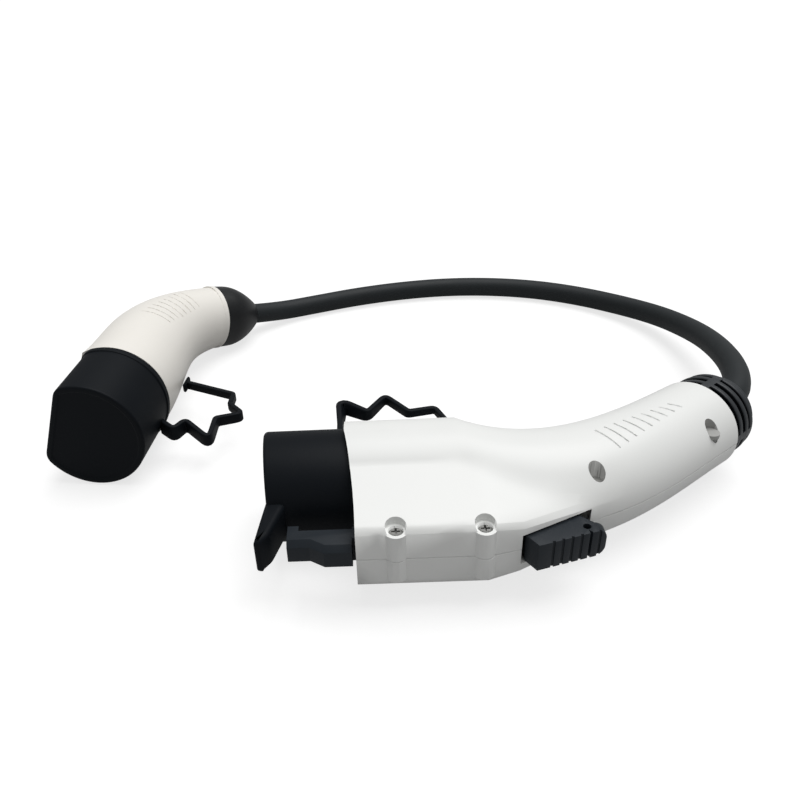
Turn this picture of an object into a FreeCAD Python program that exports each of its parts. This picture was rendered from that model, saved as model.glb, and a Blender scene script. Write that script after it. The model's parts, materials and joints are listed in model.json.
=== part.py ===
"""Short adapter lead for charging an electric car: a bent plug with a sprung latch at one end of
a cable, a plug with a keyed round nose at the other end, and a rubber cap on each nose.
Millimetres, +Z up. Both plugs lie on their sides and the free cable lies on the same surface."""

import FreeCAD, Part
import Sketcher
import math
import os
from types import SimpleNamespace

from FreeCAD import Placement, Rotation, Vector

# Driving sizes, in millimetres and degrees
SIZES = {
    # first plug: round barrel, latch housing and bent handle
    "barrel_radius": 28.0,
    "barrel_length": 44.0,
    "shell_wall": 3.0,
    "front_wall": 3.0,
    "waist_along": 84.0,
    "waist_across": -6.0,
    "waist_turn": 16.0,
    "waist_half_width": 27.0,
    "waist_half_height": 24.5,
    "grip_along": 124.0,
    "grip_across": 10.0,
    "grip_turn": 28.0,
    "grip_half_width": 24.0,
    "grip_half_height": 23.0,
    "handle_end_along": 162.6,
    "handle_end_across": 36.0,
    "handle_end_turn": 38.0,
    "handle_end_radius": 22.0,
    "handle_end_wall": 3.0,
    # latch housing on the first plug
    "latch_face_offset": 49.5,
    "latch_face_length": 52.0,
    "latch_face_half": 14.5,
    "latch_root_offset": 6.0,
    "latch_root_half": 25.0,
    "latch_knee_along": 65.0,
    "latch_knee_offset": 46.6,
    "latch_knee_half": 12.5,
    "latch_knee_root_half": 23.0,
    "latch_tail_along": 108.0,
    "latch_tail_offset": 26.0,
    "latch_tail_half": 9.0,
    "latch_tail_root_offset": 12.0,
    "latch_tail_root_half": 15.0,
    "latch_edge_round": 1.8,
    "latch_room_half": 9.0,
    "latch_room_inner": 29.0,
    "latch_room_end": 97.0,
    "latch_room_end_inner": 20.0,
    "latch_room_end_outer": 28.3,
    "latch_room_end_half": 6.9,
    # nose of the first plug
    "nose_radius": 21.9,
    "nose_length": 38.5,
    "nose_wall": 2.6,
    "nose_base": 12.0,
    "nose_flange_radius": 24.8,
    "nose_flange_thick": 4.0,
    "nose_spigot_radius": 20.0,
    "nose_spigot_end": 16.0,
    "nose_fit": 0.15,
    "nose_gasket_thick": 1.0,
    "nose_gasket_wide": 2.6,
    "block_radius": 16.7,
    "block_fit": 0.05,
    "block_step": 1.5,
    "block_step_thick": 3.0,
    "block_recess": 2.0,
    "block_end": 6.0,
    "contact_radius": 3.3,
    "contact_bore": 1.8,
    "signal_radius": 2.2,
    "signal_bore": 1.2,
    "contact_recess": 2.0,
    "contact_depth": 30.0,
    "contact_tail": 12.0,
    "contact_clearance": 0.05,
    "live_up": 6.7,
    "live_side": 7.9,
    "earth_down": 10.6,
    "pilot_down": 5.6,
    "pilot_side": 11.4,
    # latch lever, its pin and its spring
    "lever_half": 6.0,
    "pivot_along": 35.0,
    "pivot_offset": 36.4,
    "pivot_radius": 2.0,
    "pivot_clearance": 0.05,
    "pivot_length": 26.0,
    "lever_inner": 33.2,
    "lever_outer": 39.6,
    "neck_inner": 36.0,
    "neck_outer": 43.0,
    "neck_gap": 0.4,
    "neck_swing": 3.6,
    "window_half": 7.0,
    "hook_reach": 29.0,
    "hook_outer": 48.8,
    "hook_bulge": 14.0,
    "hook_waist": 20.0,
    "hook_tip_outer": 45.0,
    "hook_tooth": 34.6,
    "hook_tooth_wide": 4.5,
    "hook_inner": 37.4,
    "hook_shoulder": 2.7,
    "hook_edge": 2.4,
    "trigger_start": 70.0,
    "trigger_lead": 4.0,
    "trigger_half": 6.6,
    "trigger_front": 51.8,
    "trigger_lead_drop": 6.3,
    "trigger_end": 98.5,
    "trigger_end_front": 43.6,
    "trigger_end_inner": 39.4,
    "trigger_back": 34.0,
    "trigger_back_end": 88.5,
    "trigger_corner": 4.5,
    "trigger_window_start": 64.5,
    "trigger_window_end": 95.0,
    "trigger_gap": 0.8,
    "trigger_groove_count": 6.0,
    "trigger_groove_first": 75.5,
    "trigger_groove_pitch": 3.9,
    "trigger_groove_wide": 1.1,
    "trigger_groove_deep": 0.9,
    "padlock_hole_radius": 2.6,
    "padlock_along": 90.8,
    "padlock_offset": 41.6,
    "spring_along": 61.0,
    "spring_radius": 2.6,
    "spring_wire": 0.35,
    "spring_turns": 3.0,
    "spring_seat": 29.0,
    "spring_bottom": 37.0,
    "spring_room": 0.4,
    # switch, its board and the ribs that carry them
    "switch_start": 72.0,
    "switch_length": 12.8,
    "switch_side": 6.5,
    "switch_front": 28.4,
    "plunger_length": 3.0,
    "plunger_high": 0.6,
    "board_thick": 1.6,
    "board_length": 18.0,
    "board_wide": 15.5,
    "resistor_radius": 1.2,
    "resistor_length": 6.5,
    "rib_thick": 2.0,
    "rib_inset": 3.0,
    # screws of the first plug
    "column_radius": 4.7,
    "column_offset": 46.9,
    "column_first": 14.8,
    "column_pitch": 34.8,
    "column_top": 12.6,
    "column_foot": 12.5,
    "column_foot_radius": 3.0,
    "scoop_radius": 4.2,
    "screw_head_radius": 2.9,
    "screw_head_high": 2.2,
    "screw_head_sunk": 0.4,
    "screw_radius": 1.5,
    "screw_length": 19.0,
    "screw_slack": 0.1,
    "cross_wide": 0.9,
    "cross_deep": 1.2,
    "cross_reach": 1.8,
    "grip_screw_first_along": 99.0,
    "grip_screw_first_across": -20.5,
    "grip_screw_second_along": 159.5,
    "grip_screw_second_across": 12.0,
    "grip_column_radius": 4.6,
    "grip_screw_seat": 7.0,
    "plug_radius": 3.6,
    "plug_thick": 2.0,
    "plug_seat": 10.0,
    # grip grooves on the handle of the first plug
    "groove_count": 9.0,
    "groove_wide": 0.9,
    "groove_deep": 0.6,
    "groove_first_along": 103.0,
    "groove_first_across": 0.5,
    "groove_last_along": 141.0,
    "groove_last_across": 20.5,
    "groove_first_end_along": 111.5,
    "groove_first_end_across": -9.5,
    "groove_last_end_along": 147.0,
    "groove_last_end_across": 18.5,
    # cable and its seats
    "cable_radius": 6.7,
    "cable_floor_clearance": 0.1,
    "boot_length": 20.0,
    "boot_end_radius": 13.5,
    "boot_root_radius": 20.6,
    "boot_neck_radius": 16.4,
    "boot_flange_radius": 18.2,
    "boot_flange_thick": 3.0,
    "boot_shoulder": 12.0,
    "boot_shoulder_radius": 20.0,
    "boot_dome": 3.0,
    "boot_dome_radius": 17.6,
    "boot_slot_count": 4.0,
    "boot_slot_first": 2.0,
    "boot_slot_wide": 2.2,
    "boot_slot_deep": 2.6,
    "boot_slot_pitch": 4.3,
    "boot_spine_wide": 5.0,
    "tail_inside": 30.0,
    "clamp_thick": 2.5,
    "clamp_wide": 6.0,
    "clamp_reach": 15.2,
    "clamp_screw_side": 12.4,
    "clamp_post_radius": 3.1,
    "clamp_seat": 2.0,
    "clamp_back": 9.3,
    "clamp_screw_length": 9.0,
    "wire_radius": 1.5,
    "signal_wire_radius": 0.8,
    "bundle_share": 0.36,
    "wire_lead": 6.0,
    # cap of the first plug
    "cap_wall": 2.6,
    "cap_clearance": 0.3,
    "cap_gap": 1.5,
    "cap_edge": 1.0,
    "cap_recess_radius": 19.0,
    "cap_recess_deep": 1.2,
    "tab_root": 0.8,
    "tab_half": 8.5,
    "tab_tip": 2.0,
    "tab_reach": 46.0,
    "tab_bend": 0.6,
    "tab_neck_rise": 41.4,
    "tab_neck_thick": 5.0,
    "tab_foot_rise": 27.0,
    "tab_foot_thick": 8.9,
    "tab_root_thick": 10.4,
    "strap_thick": 2.4,
    "strap_high": 5.0,
    # second plug: keyed nose, one-piece elbow
    "elbow_turn_in_plan": 84.0,
    "elbow_roll": 20.2,
    "elbow_face_along": -136.3,
    "elbow_face_across": 42.8,
    "keyed_cap_gap": 1.3,
    "keyed_cap_radius": 29.5,
    "keyed_cap_lip": 0.7,
    "keyed_cap_lip_wide": 4.0,
    "keyed_cap_length": 40.0,
    "keyed_cap_wall": 2.4,
    "keyed_flat": 19.9,
    "keyed_cap_room": 0.5,
    "keyed_cap_edge": 1.2,
    "keyed_shroud_wall": 2.4,
    "keyed_shroud_base": 30.0,
    "keyed_gasket_thick": 1.0,
    "keyed_gasket_wide": 2.0,
    "keyed_spigot_radius": 18.4,
    "keyed_spigot_length": 10.0,
    "keyed_spigot_fit": 0.1,
    "keyed_block_radius": 16.0,
    "keyed_block_step": 0.8,
    "keyed_block_step_along": 34.0,
    "keyed_block_front": 28.5,
    "elbow_wall": 3.2,
    "elbow_flat_step": 2.0,
    "elbow_front_radius": 29.3,
    "elbow_end_along": 156.0,
    "elbow_end_across": 24.0,
    "elbow_end_turn": 46.0,
    "elbow_end_radius": 20.0,
    "elbow_bead": 0.8,
    "elbow_bead_wide": 3.0,
    "elbow_mid_along": 85.0,
    "elbow_mid_radius": 27.0,
    "elbow_bend_along": 115.0,
    "elbow_bend_across": 3.0,
    "elbow_bend_turn": 12.0,
    "elbow_bend_radius": 24.0,
    "elbow_late_along": 138.0,
    "elbow_late_across": 12.0,
    "elbow_late_turn": 30.0,
    "elbow_late_radius": 21.5,
    "ridge_count": 8.0,
    "ridge_half": 9.0,
    "ridge_first_along": 92.0,
    "ridge_first_across": 1.0,
    "ridge_first_turn": 4.0,
    "ridge_last_along": 132.0,
    "ridge_last_across": 10.0,
    "ridge_last_turn": 26.0,
    "ridge_wide": 0.9,
    "ridge_deep": 0.5,
    "keyed_live_side": 12.0,
    "keyed_signal_side": 6.5,
    "keyed_signal_up": 9.5,
    "pin_radius": 3.0,
    "pin_front": 11.0,
    "signal_pin_radius": 1.5,
    "signal_pin_front": 15.0,
    "pin_tail": 8.0,
    # gland of the second plug
    "gland_length": 31.0,
    "gland_radius": 20.5,
    "gland_shoulder": 10.0,
    "gland_mid": 15.5,
    "gland_mid_along": 22.0,
    "gland_mouth": 8.3,
    "gland_spigot_radius": 16.0,
    "gland_spigot_length": 10.0,
    "gland_fit": 0.1,
    "gland_bore": 12.0,
    "gland_seal_start": 2.0,
    "claw_length": 7.0,
    "claw_cone": 4.0,
    "claw_nose": 9.0,
    "claw_slot": 1.4,
    "tail_in_elbow": 20.0,
    # cap straps
    "anchor_thick": 1.6,
    "anchor_half": 5.0,
    "second_strap_up": 18.0,
}

doc = FreeCAD.newDocument("adapter")
sheet = doc.addObject("Spreadsheet::Sheet", "Sizes")


class Size:
    """A number that also carries the sheet expression it comes from."""

    def __init__(self, value, text):
        self.value = float(value)
        self.text = text

    def joined(self, other, value, sign):
        return Size(value, f"({self.text} {sign} {other.text})")

    def __add__(self, other):
        other = as_size(other)
        return self.joined(other, self.value + other.value, "+")

    def __sub__(self, other):
        other = as_size(other)
        return self.joined(other, self.value - other.value, "-")

    def __mul__(self, other):
        other = as_size(other)
        return self.joined(other, self.value * other.value, "*")

    def __truediv__(self, other):
        other = as_size(other)
        return self.joined(other, self.value / other.value, "/")

    def __radd__(self, other):
        return as_size(other) + self

    def __rsub__(self, other):
        return as_size(other) - self

    def __rmul__(self, other):
        return as_size(other) * self

    def __neg__(self):
        return Size(-self.value, f"(0 - {self.text})")


def as_size(number):
    """A plain number as a size, so that both can be used in one sum."""
    if isinstance(number, Size):
        return number
    return Size(number, repr(float(number)))


def fill_sheet():
    """Write each driving size on its own row and return them by name."""
    named = {}
    for row, (name, value) in enumerate(SIZES.items(), start=1):
        sheet.set(f"A{row}", name)
        sheet.set(f"B{row}", str(value))
        sheet.setAlias(f"B{row}", name)
        named[name] = Size(value, f"Sizes.{name}")
    doc.recompute()
    return SimpleNamespace(**named)


z = fill_sheet()


def bind(thing, **sizes):
    """Set each property to its size and tie it to the sheet."""
    for name, size in sizes.items():
        size = as_size(size)
        setattr(thing, name, size.value)
        thing.setExpression(name, size.text)


def turned_to(axis_angle, position=Vector(0, 0, 0)):
    """A frame whose X axis is turned in plan."""
    return Placement(position, Rotation(Vector(0, 0, 1), axis_angle))


# Frames: first plug at its nose datum, then its handle end, the elbow plug and its gland
FRONT = Placement()
HANDLE_END = turned_to(
    z.handle_end_turn.value,
    Vector(z.handle_end_along.value, z.handle_end_across.value, 0),
)
FLOOR = -z.barrel_radius.value
ELBOW = Placement(
    Vector(
        z.elbow_face_along.value,
        z.elbow_face_across.value,
        FLOOR + z.keyed_cap_radius.value + z.keyed_cap_lip.value,
    ),
    Rotation(Vector(0, 0, 1), z.elbow_turn_in_plan.value)
    * Rotation(Vector(1, 0, 0), z.elbow_roll.value),
)
GLAND = ELBOW * turned_to(
    -z.elbow_end_turn.value,
    Vector(z.elbow_end_along.value, -z.elbow_end_across.value, 0),
)


def new_body(name, frame=FRONT):
    """An empty body that stands in one of the frames."""
    body = doc.addObject("PartDesign::Body", name)
    body.Label = name
    body.Placement = frame
    return body


def plane_of(body, role):
    """One of the body's own origin planes."""
    return next(item for item in body.Origin.OriginFeatures if item.Role == role)


def new_sketch(body, role, lift=0):
    """A sketch on an origin plane of its body, lifted along the plane's normal."""
    sketch = body.newObject("Sketcher::SketchObject", body.Name + "_sketch")
    sketch.AttachmentSupport = (plane_of(body, role), [""])
    sketch.MapMode = "FlatFace"
    lift = as_size(lift)
    if lift.value:
        sketch.AttachmentOffset = Placement(Vector(0, 0, lift.value), Rotation())
        sketch.setExpression("AttachmentOffset.Base.z", lift.text)
    return sketch


def tie(sketch, kind, where, size):
    """Add one dimension to a sketch and bind it to its size."""
    size = as_size(size)
    number = sketch.addConstraint(Sketcher.Constraint(kind, *where, size.value))
    sketch.setExpression(f"Constraints[{number}]", size.text)


def place_point(sketch, item, end, point):
    """Hold one end of a line at its two coordinates."""
    for kind, axis, size in (("DistanceX", -2, point[0]), ("DistanceY", -1, point[1])):
        size = as_size(size)
        if size.value == 0.0:
            sketch.addConstraint(Sketcher.Constraint("PointOnObject", item, end, axis))
        else:
            tie(sketch, kind, (-1, 1, item, end), size)


def outline(sketch, points):
    """A closed outline of straight lines through the given points."""
    flat = [Vector(as_size(a).value, as_size(b).value, 0) for a, b in points]
    first = sketch.GeometryCount
    for start, end in zip(flat, flat[1:] + flat[:1]):
        sketch.addGeometry(Part.LineSegment(start, end), False)
    last = first + len(flat) - 1
    for item in range(first, last + 1):
        following = first if item == last else item + 1
        sketch.addConstraint(Sketcher.Constraint("Coincident", item, 2, following, 1))
    for item, point in enumerate(points, start=first):
        place_point(sketch, item, 1, point)


def circles(sketch, rounds):
    """Full circles, each given by its centre and radius."""
    for across, up, radius in rounds:
        radius = as_size(radius)
        centre = Vector(as_size(across).value, as_size(up).value, 0)
        item = sketch.addGeometry(Part.Circle(centre, Vector(0, 0, 1), radius.value), False)
        tie(sketch, "Radius", (item,), radius)
        place_point(sketch, item, 3, (across, up))


def keyed_outline(sketch, radius, flat):
    """A circle with its +X side cut flat."""
    radius = as_size(radius)
    flat = as_size(flat)
    start = math.acos(flat.value / radius.value)
    full = Part.Circle(Vector(0, 0, 0), Vector(0, 0, 1), radius.value)
    arc = sketch.addGeometry(Part.ArcOfCircle(full, start, 2 * math.pi - start), False)
    half = radius.value * math.sin(start)
    low = Vector(flat.value, -half, 0)
    high = Vector(flat.value, half, 0)
    side = sketch.addGeometry(Part.LineSegment(low, high), False)
    sketch.addConstraint(Sketcher.Constraint("Coincident", arc, 3, -1, 1))
    sketch.addConstraint(Sketcher.Constraint("Coincident", arc, 2, side, 1))
    sketch.addConstraint(Sketcher.Constraint("Coincident", side, 2, arc, 1))
    sketch.addConstraint(Sketcher.Constraint("Vertical", side))
    tie(sketch, "Radius", (arc,), radius)
    tie(sketch, "DistanceX", (-1, 1, side, 1), flat)


def pad(body, sketch, length, both_ways=False):
    """Raise a sketch by a length, along its normal or half each way."""
    feature = body.newObject("PartDesign::Pad", body.Name + "_pad")
    feature.Profile = sketch
    bind(feature, Length=length)
    feature.Midplane = both_ways
    return feature


def pocket(body, sketch, depth, both_ways=False, forward=False):
    """Cut a sketch into the body, against its normal unless told to go forward."""
    feature = body.newObject("PartDesign::Pocket", body.Name + "_pocket")
    feature.Profile = sketch
    bind(feature, Length=depth)
    feature.Midplane = both_ways
    feature.Reversed = forward
    return feature


def turned(name, points, frame=FRONT):
    """A body turned about the X axis of its frame, from (along, radius) points."""
    body = new_body(name, frame)
    sketch = new_sketch(body, "XY_Plane")
    outline(sketch, points)
    feature = body.newObject("PartDesign::Revolution", name + "_turn")
    feature.Profile = sketch
    feature.ReferenceAxis = (sketch, ["H_Axis"])
    feature.Angle = 360.0
    return body


def upright(name, points, frame):
    """A body turned about the Z axis of its frame, from (radius, height) points."""
    body = new_body(name, frame)
    sketch = new_sketch(body, "XZ_Plane")
    outline(sketch, points)
    feature = body.newObject("PartDesign::Revolution", name + "_turn")
    feature.Profile = sketch
    feature.ReferenceAxis = (sketch, ["V_Axis"])
    feature.Angle = 360.0
    return body


def drilled(body, rounds, depth, lift):
    """Holes along X, from a plane at a given place, into the body towards +X."""
    sketch = new_sketch(body, "YZ_Plane", lift)
    circles(sketch, rounds)
    return pocket(body, sketch, depth, forward=True)


def cylinder(name, radius, height, frame):
    """A plain cylinder that rises along the Z axis of its frame."""
    shape = doc.addObject("Part::Cylinder", name)
    bind(shape, Radius=radius, Height=height)
    shape.Placement = frame
    return shape


def along_x(frame, along=0.0, across=0.0, up=0.0):
    """A frame whose Z axis runs along the X axis of the given one."""
    shift = Placement(Vector(along, across, up), Rotation(Vector(0, 1, 0), 90))
    return frame * shift


def box(name, length, width, height, frame):
    """A plain box with its corner at its frame."""
    shape = doc.addObject("Part::Box", name)
    bind(shape, Length=length, Width=width, Height=height)
    shape.Placement = frame
    return shape


def at(frame, along=0.0, across=0.0, up=0.0, turn=0.0):
    """A place inside a frame, with an optional turn in plan."""
    return frame * turned_to(turn, Vector(along, across, up))


def cut(name, base, tool):
    result = doc.addObject("Part::Cut", name)
    result.Base = base
    result.Tool = tool
    return result


def common(name, base, tool):
    result = doc.addObject("Part::Common", name)
    result.Base = base
    result.Tool = tool
    return result


def fused(name, shapes):
    result = doc.addObject("Part::MultiFuse", name)
    result.Shapes = shapes
    return result


def grouped(name, shapes):
    """Like pieces that stay separate solids of one node."""
    result = doc.addObject("Part::Compound", name)
    result.Links = shapes
    return result


def loft(name, sections, ruled=False):
    """A solid through sections, smooth or straight from one to the next."""
    result = doc.addObject("Part::Loft", name)
    result.Sections = sections
    result.Solid = True
    result.Ruled = ruled
    return result


def oval(name, along, across, turn, half_width, half_height, frame=FRONT):
    """An upright oval section across a path that runs in plan."""
    shape = doc.addObject("Part::Ellipse", name)
    bind(shape, MajorRadius=half_width, MinorRadius=half_height)
    facing = Rotation(Vector(0, 1, 0), Vector(0, 0, 1), Vector(1, 0, 0), "ZXY")
    shape.Placement = at(frame, along, across, 0.0, turn) * Placement(Vector(), facing)
    return shape


def prism(name, points, half, frame=FRONT):
    """A flat outline in plan, raised equally above and below the axis."""
    body = new_body(name, frame)
    sketch = new_sketch(body, "XY_Plane")
    outline(sketch, points)
    pad(body, sketch, half * 2, both_ways=True)
    return body


def tapered(name, sections, ease=None):
    """A body through four-sided sections across X: (along, inner, half, outer, half)."""
    body = new_body(name)
    sketches = []
    for along, inner, inner_half, outer, outer_half in sections:
        upper = [(-inner, inner_half), (-outer, outer_half)]
        if ease:
            slope = (inner_half - outer_half) / (outer - inner)
            upper = [
                (-inner, inner_half),
                (ease - outer, outer_half + ease * slope),
                (-outer, outer_half - ease),
            ]
        sketch = new_sketch(body, "YZ_Plane", along)
        outline(sketch, upper + [(across, -up) for across, up in reversed(upper)])
        sketches.append(sketch)
    feature = body.newObject("PartDesign::AdditiveLoft", name + "_loft")
    feature.Profile = sketches[0]
    feature.Sections = sketches[1:]
    feature.Ruled = True
    return body


def eased_path(route):
    """Straight runs joined by tangent arcs, with the radii of the arcs."""
    edges = []
    radii = []
    start = route[0]
    for before, corner, after in zip(route, route[1:], route[2:]):
        back = before - corner
        on = after - corner
        reach = 0.45 * min(back.Length, on.Length)
        turn = math.pi - back.getAngle(on)
        radius = reach / math.tan(turn / 2)
        back.normalize()
        on.normalize()
        inward = back + on
        inward.normalize()
        middle = corner + inward * (radius / math.cos(turn / 2) - radius)
        arc_start = corner + back * reach
        arc_end = corner + on * reach
        edges.append(Part.LineSegment(start, arc_start).toShape())
        edges.append(Part.Arc(arc_start, middle, arc_end).toShape())
        radii.append(radius)
        start = arc_end
    edges.append(Part.LineSegment(start, route[-1]).toShape())
    return Part.Wire(edges), radii


def tube(name, route, radius):
    """A round solid along a route."""
    path, radii = eased_path(route)
    section = Part.Wire([Part.makeCircle(radius.value, route[0], route[1] - route[0])])
    result = doc.addObject("Part::Feature", name)
    result.Shape = path.makePipeShell([section], True, True)
    return result, path, radii


# First plug: outer form of both shells
HANDLE = [
    ("start", z.barrel_length, 0.0, 0.0, z.barrel_radius, z.barrel_radius),
    ("waist", z.waist_along, z.waist_across, z.waist_turn, z.waist_half_width,
     z.waist_half_height),
    ("grip", z.grip_along, z.grip_across, z.grip_turn, z.grip_half_width,
     z.grip_half_height),
    ("end", z.handle_end_along, z.handle_end_across, z.handle_end_turn,
     z.handle_end_radius, z.handle_end_radius),
]


def handle_form(name, inset, end_inset=0.0):
    """The bent handle, set in by a wall, with its rear end set in too."""
    sections = []
    for place, along, across, turn, wide, high in HANDLE:
        along = as_size(along).value
        across = as_size(across).value
        turn = as_size(turn).value
        if place == "end":
            along -= end_inset * math.cos(math.radians(turn))
            across -= end_inset * math.sin(math.radians(turn))
        section = oval(f"{name}_{place}", along, across, turn, wide - inset, high - inset)
        sections.append(section)
    return loft(name, sections)


def column(name, frame, radius, low, high):
    """A screw column between two heights of the plug's frame."""
    place = frame * Placement(Vector(0, 0, low.value), Rotation())
    return cylinder(name, radius, high - low, place)


FRONT_SCREWS = [
    at(FRONT, (z.column_first + z.column_pitch * step).value, -z.column_offset.value)
    for step in range(2)
]
GRIP_SCREWS = [
    at(FRONT, z.grip_screw_first_along.value, z.grip_screw_first_across.value),
    at(FRONT, z.grip_screw_second_along.value, z.grip_screw_second_across.value),
]
CLAMP_SCREWS = [
    at(HANDLE_END, -z.clamp_back.value, side * z.clamp_screw_side.value) for side in (-1, 1)
]


def front_column(name, frame):
    """A column of the latch housing, with a tapered foot."""
    taper = z.column_radius - z.column_foot_radius
    return upright(
        name,
        [
            (0, -z.column_foot),
            (z.column_foot_radius, -z.column_foot),
            (z.column_radius, taper - z.column_foot),
            (z.column_radius, z.column_top),
            (0, z.column_top),
        ],
        frame,
    )


def first_plug_form():
    """The outside of the two closed shells of the first plug."""
    barrel = cylinder("barrel_form", z.barrel_radius, z.barrel_length, along_x(FRONT))
    housing = tapered(
        "latch_form",
        [
            (0, z.latch_root_offset, z.latch_root_half, z.latch_face_offset,
             z.latch_face_half),
            (z.latch_face_length, z.latch_root_offset, z.latch_root_half,
             z.latch_face_offset, z.latch_face_half),
            (z.latch_knee_along, z.latch_root_offset, z.latch_knee_root_half,
             z.latch_knee_offset, z.latch_knee_half),
            (z.latch_tail_along, z.latch_tail_root_offset, z.latch_tail_root_half,
             z.latch_tail_offset, z.latch_tail_half),
        ],
        z.latch_edge_round,
    )
    columns = [
        front_column(f"front_column_{number}", frame)
        for number, frame in enumerate(FRONT_SCREWS, start=1)
    ]
    return fused("plug_form", [barrel, handle_form("handle_form", as_size(0.0)), housing] + columns)


def first_plug_room():
    """What the shells of the first plug are hollow for."""
    start = z.front_wall
    groove_end = start + z.nose_gasket_thick + z.nose_flange_thick
    bore = z.barrel_radius - z.shell_wall
    nose_rib_end = groove_end + z.nose_spigot_end - z.nose_base - z.nose_fit
    barrel = turned(
        "barrel_room",
        [
            (start, 0),
            (start, bore),
            (groove_end, bore),
            (groove_end, z.nose_spigot_radius + z.nose_fit),
            (nose_rib_end, z.nose_spigot_radius + z.nose_fit),
            (nose_rib_end, bore),
            (z.barrel_length, bore),
            (z.barrel_length, 0),
        ],
    )
    handle = handle_form("handle_room", z.shell_wall, z.handle_end_wall.value)
    latch = tapered(
        "latch_room",
        [
            (start, z.latch_room_inner, z.latch_room_half,
             z.latch_face_offset - z.shell_wall, z.latch_room_half),
            (z.latch_face_length, z.latch_room_inner, z.latch_room_half,
             z.latch_face_offset - z.shell_wall, z.latch_room_half),
            (z.latch_knee_along, z.latch_room_inner, z.latch_room_half,
             z.latch_knee_offset - z.shell_wall, z.latch_room_half),
            (z.latch_room_end, z.latch_room_end_inner, z.latch_room_end_half,
             z.latch_room_end_outer, z.latch_room_end_half),
        ],
    )
    return fused("plug_room", [barrel, handle, latch])


def first_plug_pillars():
    """Columns, ribs and posts that stand in the hollow of the first plug."""
    room = z.barrel_radius
    pillars = [
        column(f"front_pillar_{number}", frame, z.column_radius, -room, z.column_top)
        for number, frame in enumerate(FRONT_SCREWS, start=1)
    ]
    pillars += [
        column(f"grip_pillar_{number}", frame, z.grip_column_radius, -room, room)
        for number, frame in enumerate(GRIP_SCREWS, start=1)
    ]
    board_low = -(z.switch_side / 2 + z.board_thick)
    for number, along in enumerate(
        (z.switch_start + z.rib_inset, z.switch_start + z.switch_length - z.rib_inset)
    ):
        low = Placement(
            Vector((along - z.rib_thick / 2).value, -z.switch_front.value, -room.value),
            Rotation(),
        )
        pillars.append(
            box(f"board_rib_{number}", z.rib_thick, z.board_wide, board_low + room, low)
        )
    seat = -z.clamp_seat
    for number, frame in enumerate(CLAMP_SCREWS, start=1):
        pillars.append(
            column(
                f"clamp_post_{number}", frame, z.clamp_post_radius, -z.handle_end_radius, seat
            )
        )
    return fused("plug_pillars", pillars)


def screw_ways(name, frame, well, seat, top):
    """Well, head seat, clearance hole and pilot hole of one screw."""
    head = z.screw_head_radius + 2 * z.screw_slack
    pilot_end = seat - z.screw_length - 0.5
    return [
        column(f"{name}_well", frame, well, top, z.barrel_radius),
        column(f"{name}_head", frame, head, seat, top),
        column(f"{name}_hole", frame, z.screw_radius + z.screw_slack, as_size(0.0), seat),
        column(f"{name}_pilot", frame, z.screw_radius, pilot_end, as_size(0.0)),
    ]


def first_plug_cuts():
    """Openings through the walls of the first plug."""
    through = z.front_wall + 2
    nose = cylinder(
        "nose_hole", z.nose_radius + z.nose_fit, through, along_x(FRONT, -1.0)
    )
    window_inner = z.neck_inner - z.neck_gap
    window_outer = z.neck_outer + z.neck_swing
    window = prism(
        "latch_window",
        [(-1, -window_inner), (-1, -window_outer), (through, -window_outer),
         (through, -window_inner)],
        z.window_half,
    )
    trigger = prism(
        "trigger_window",
        [
            (z.trigger_window_start, -(z.trigger_front + 2)),
            (z.trigger_window_start, -z.latch_room_inner),
            (z.trigger_window_end, -z.latch_room_inner),
            (z.trigger_window_end, -(z.trigger_front + 2)),
        ],
        z.trigger_half + z.trigger_gap,
    )
    end = cylinder(
        "boot_hole",
        z.boot_neck_radius + z.screw_slack,
        z.handle_end_wall * 3,
        along_x(HANDLE_END, -2 * z.handle_end_wall.value),
    )
    pin = column(
        "pivot_hole",
        at(FRONT, z.pivot_along.value, -z.pivot_offset.value),
        z.pivot_radius,
        -z.pivot_length / 2,
        z.pivot_length / 2,
    )
    cuts = [nose, window, trigger, end, pin]
    head_deep = z.screw_head_high + z.screw_head_sunk
    for number, frame in enumerate(FRONT_SCREWS, start=1):
        seat = z.column_top - head_deep
        cuts += screw_ways(f"front_screw_{number}", frame, z.scoop_radius, seat, z.column_top)
    for number, frame in enumerate(GRIP_SCREWS, start=1):
        cuts += screw_ways(
            f"grip_screw_{number}", frame, z.plug_radius, z.grip_screw_seat, z.plug_seat
        )
    for number, frame in enumerate(CLAMP_SCREWS, start=1):
        hole_low = -z.clamp_seat - z.clamp_screw_length
        cuts.append(
            column(f"clamp_pilot_{number}", frame, z.screw_radius, hole_low, -z.clamp_seat)
        )
    return cuts


def grip_grooves():
    """Shallow grooves across the top of the handle, as a tool."""
    bars = []
    count = int(z.groove_count.value)
    for number in range(count):
        share = number / (count - 1)
        start = Vector(
            z.groove_first_along.value * (1 - share) + z.groove_last_along.value * share,
            z.groove_first_across.value * (1 - share) + z.groove_last_across.value * share,
            0,
        )
        stop = Vector(
            z.groove_first_end_along.value * (1 - share)
            + z.groove_last_end_along.value * share,
            z.groove_first_end_across.value * (1 - share)
            + z.groove_last_end_across.value * share,
            0,
        )
        run = stop - start
        turn = math.degrees(math.atan2(run.y, run.x))
        side = turned_to(turn, start) * Placement(
            Vector(0, -z.groove_wide.value / 2, 0), Rotation()
        )
        bars.append(box(f"groove_{number}", run.Length, z.groove_wide, z.barrel_radius, side))
    return common(
        "grip_grooves",
        fused("groove_bars", bars),
        cut("groove_skin", doc.getObject("handle_form"), handle_form("groove_floor", z.groove_deep)),
    )


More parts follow.
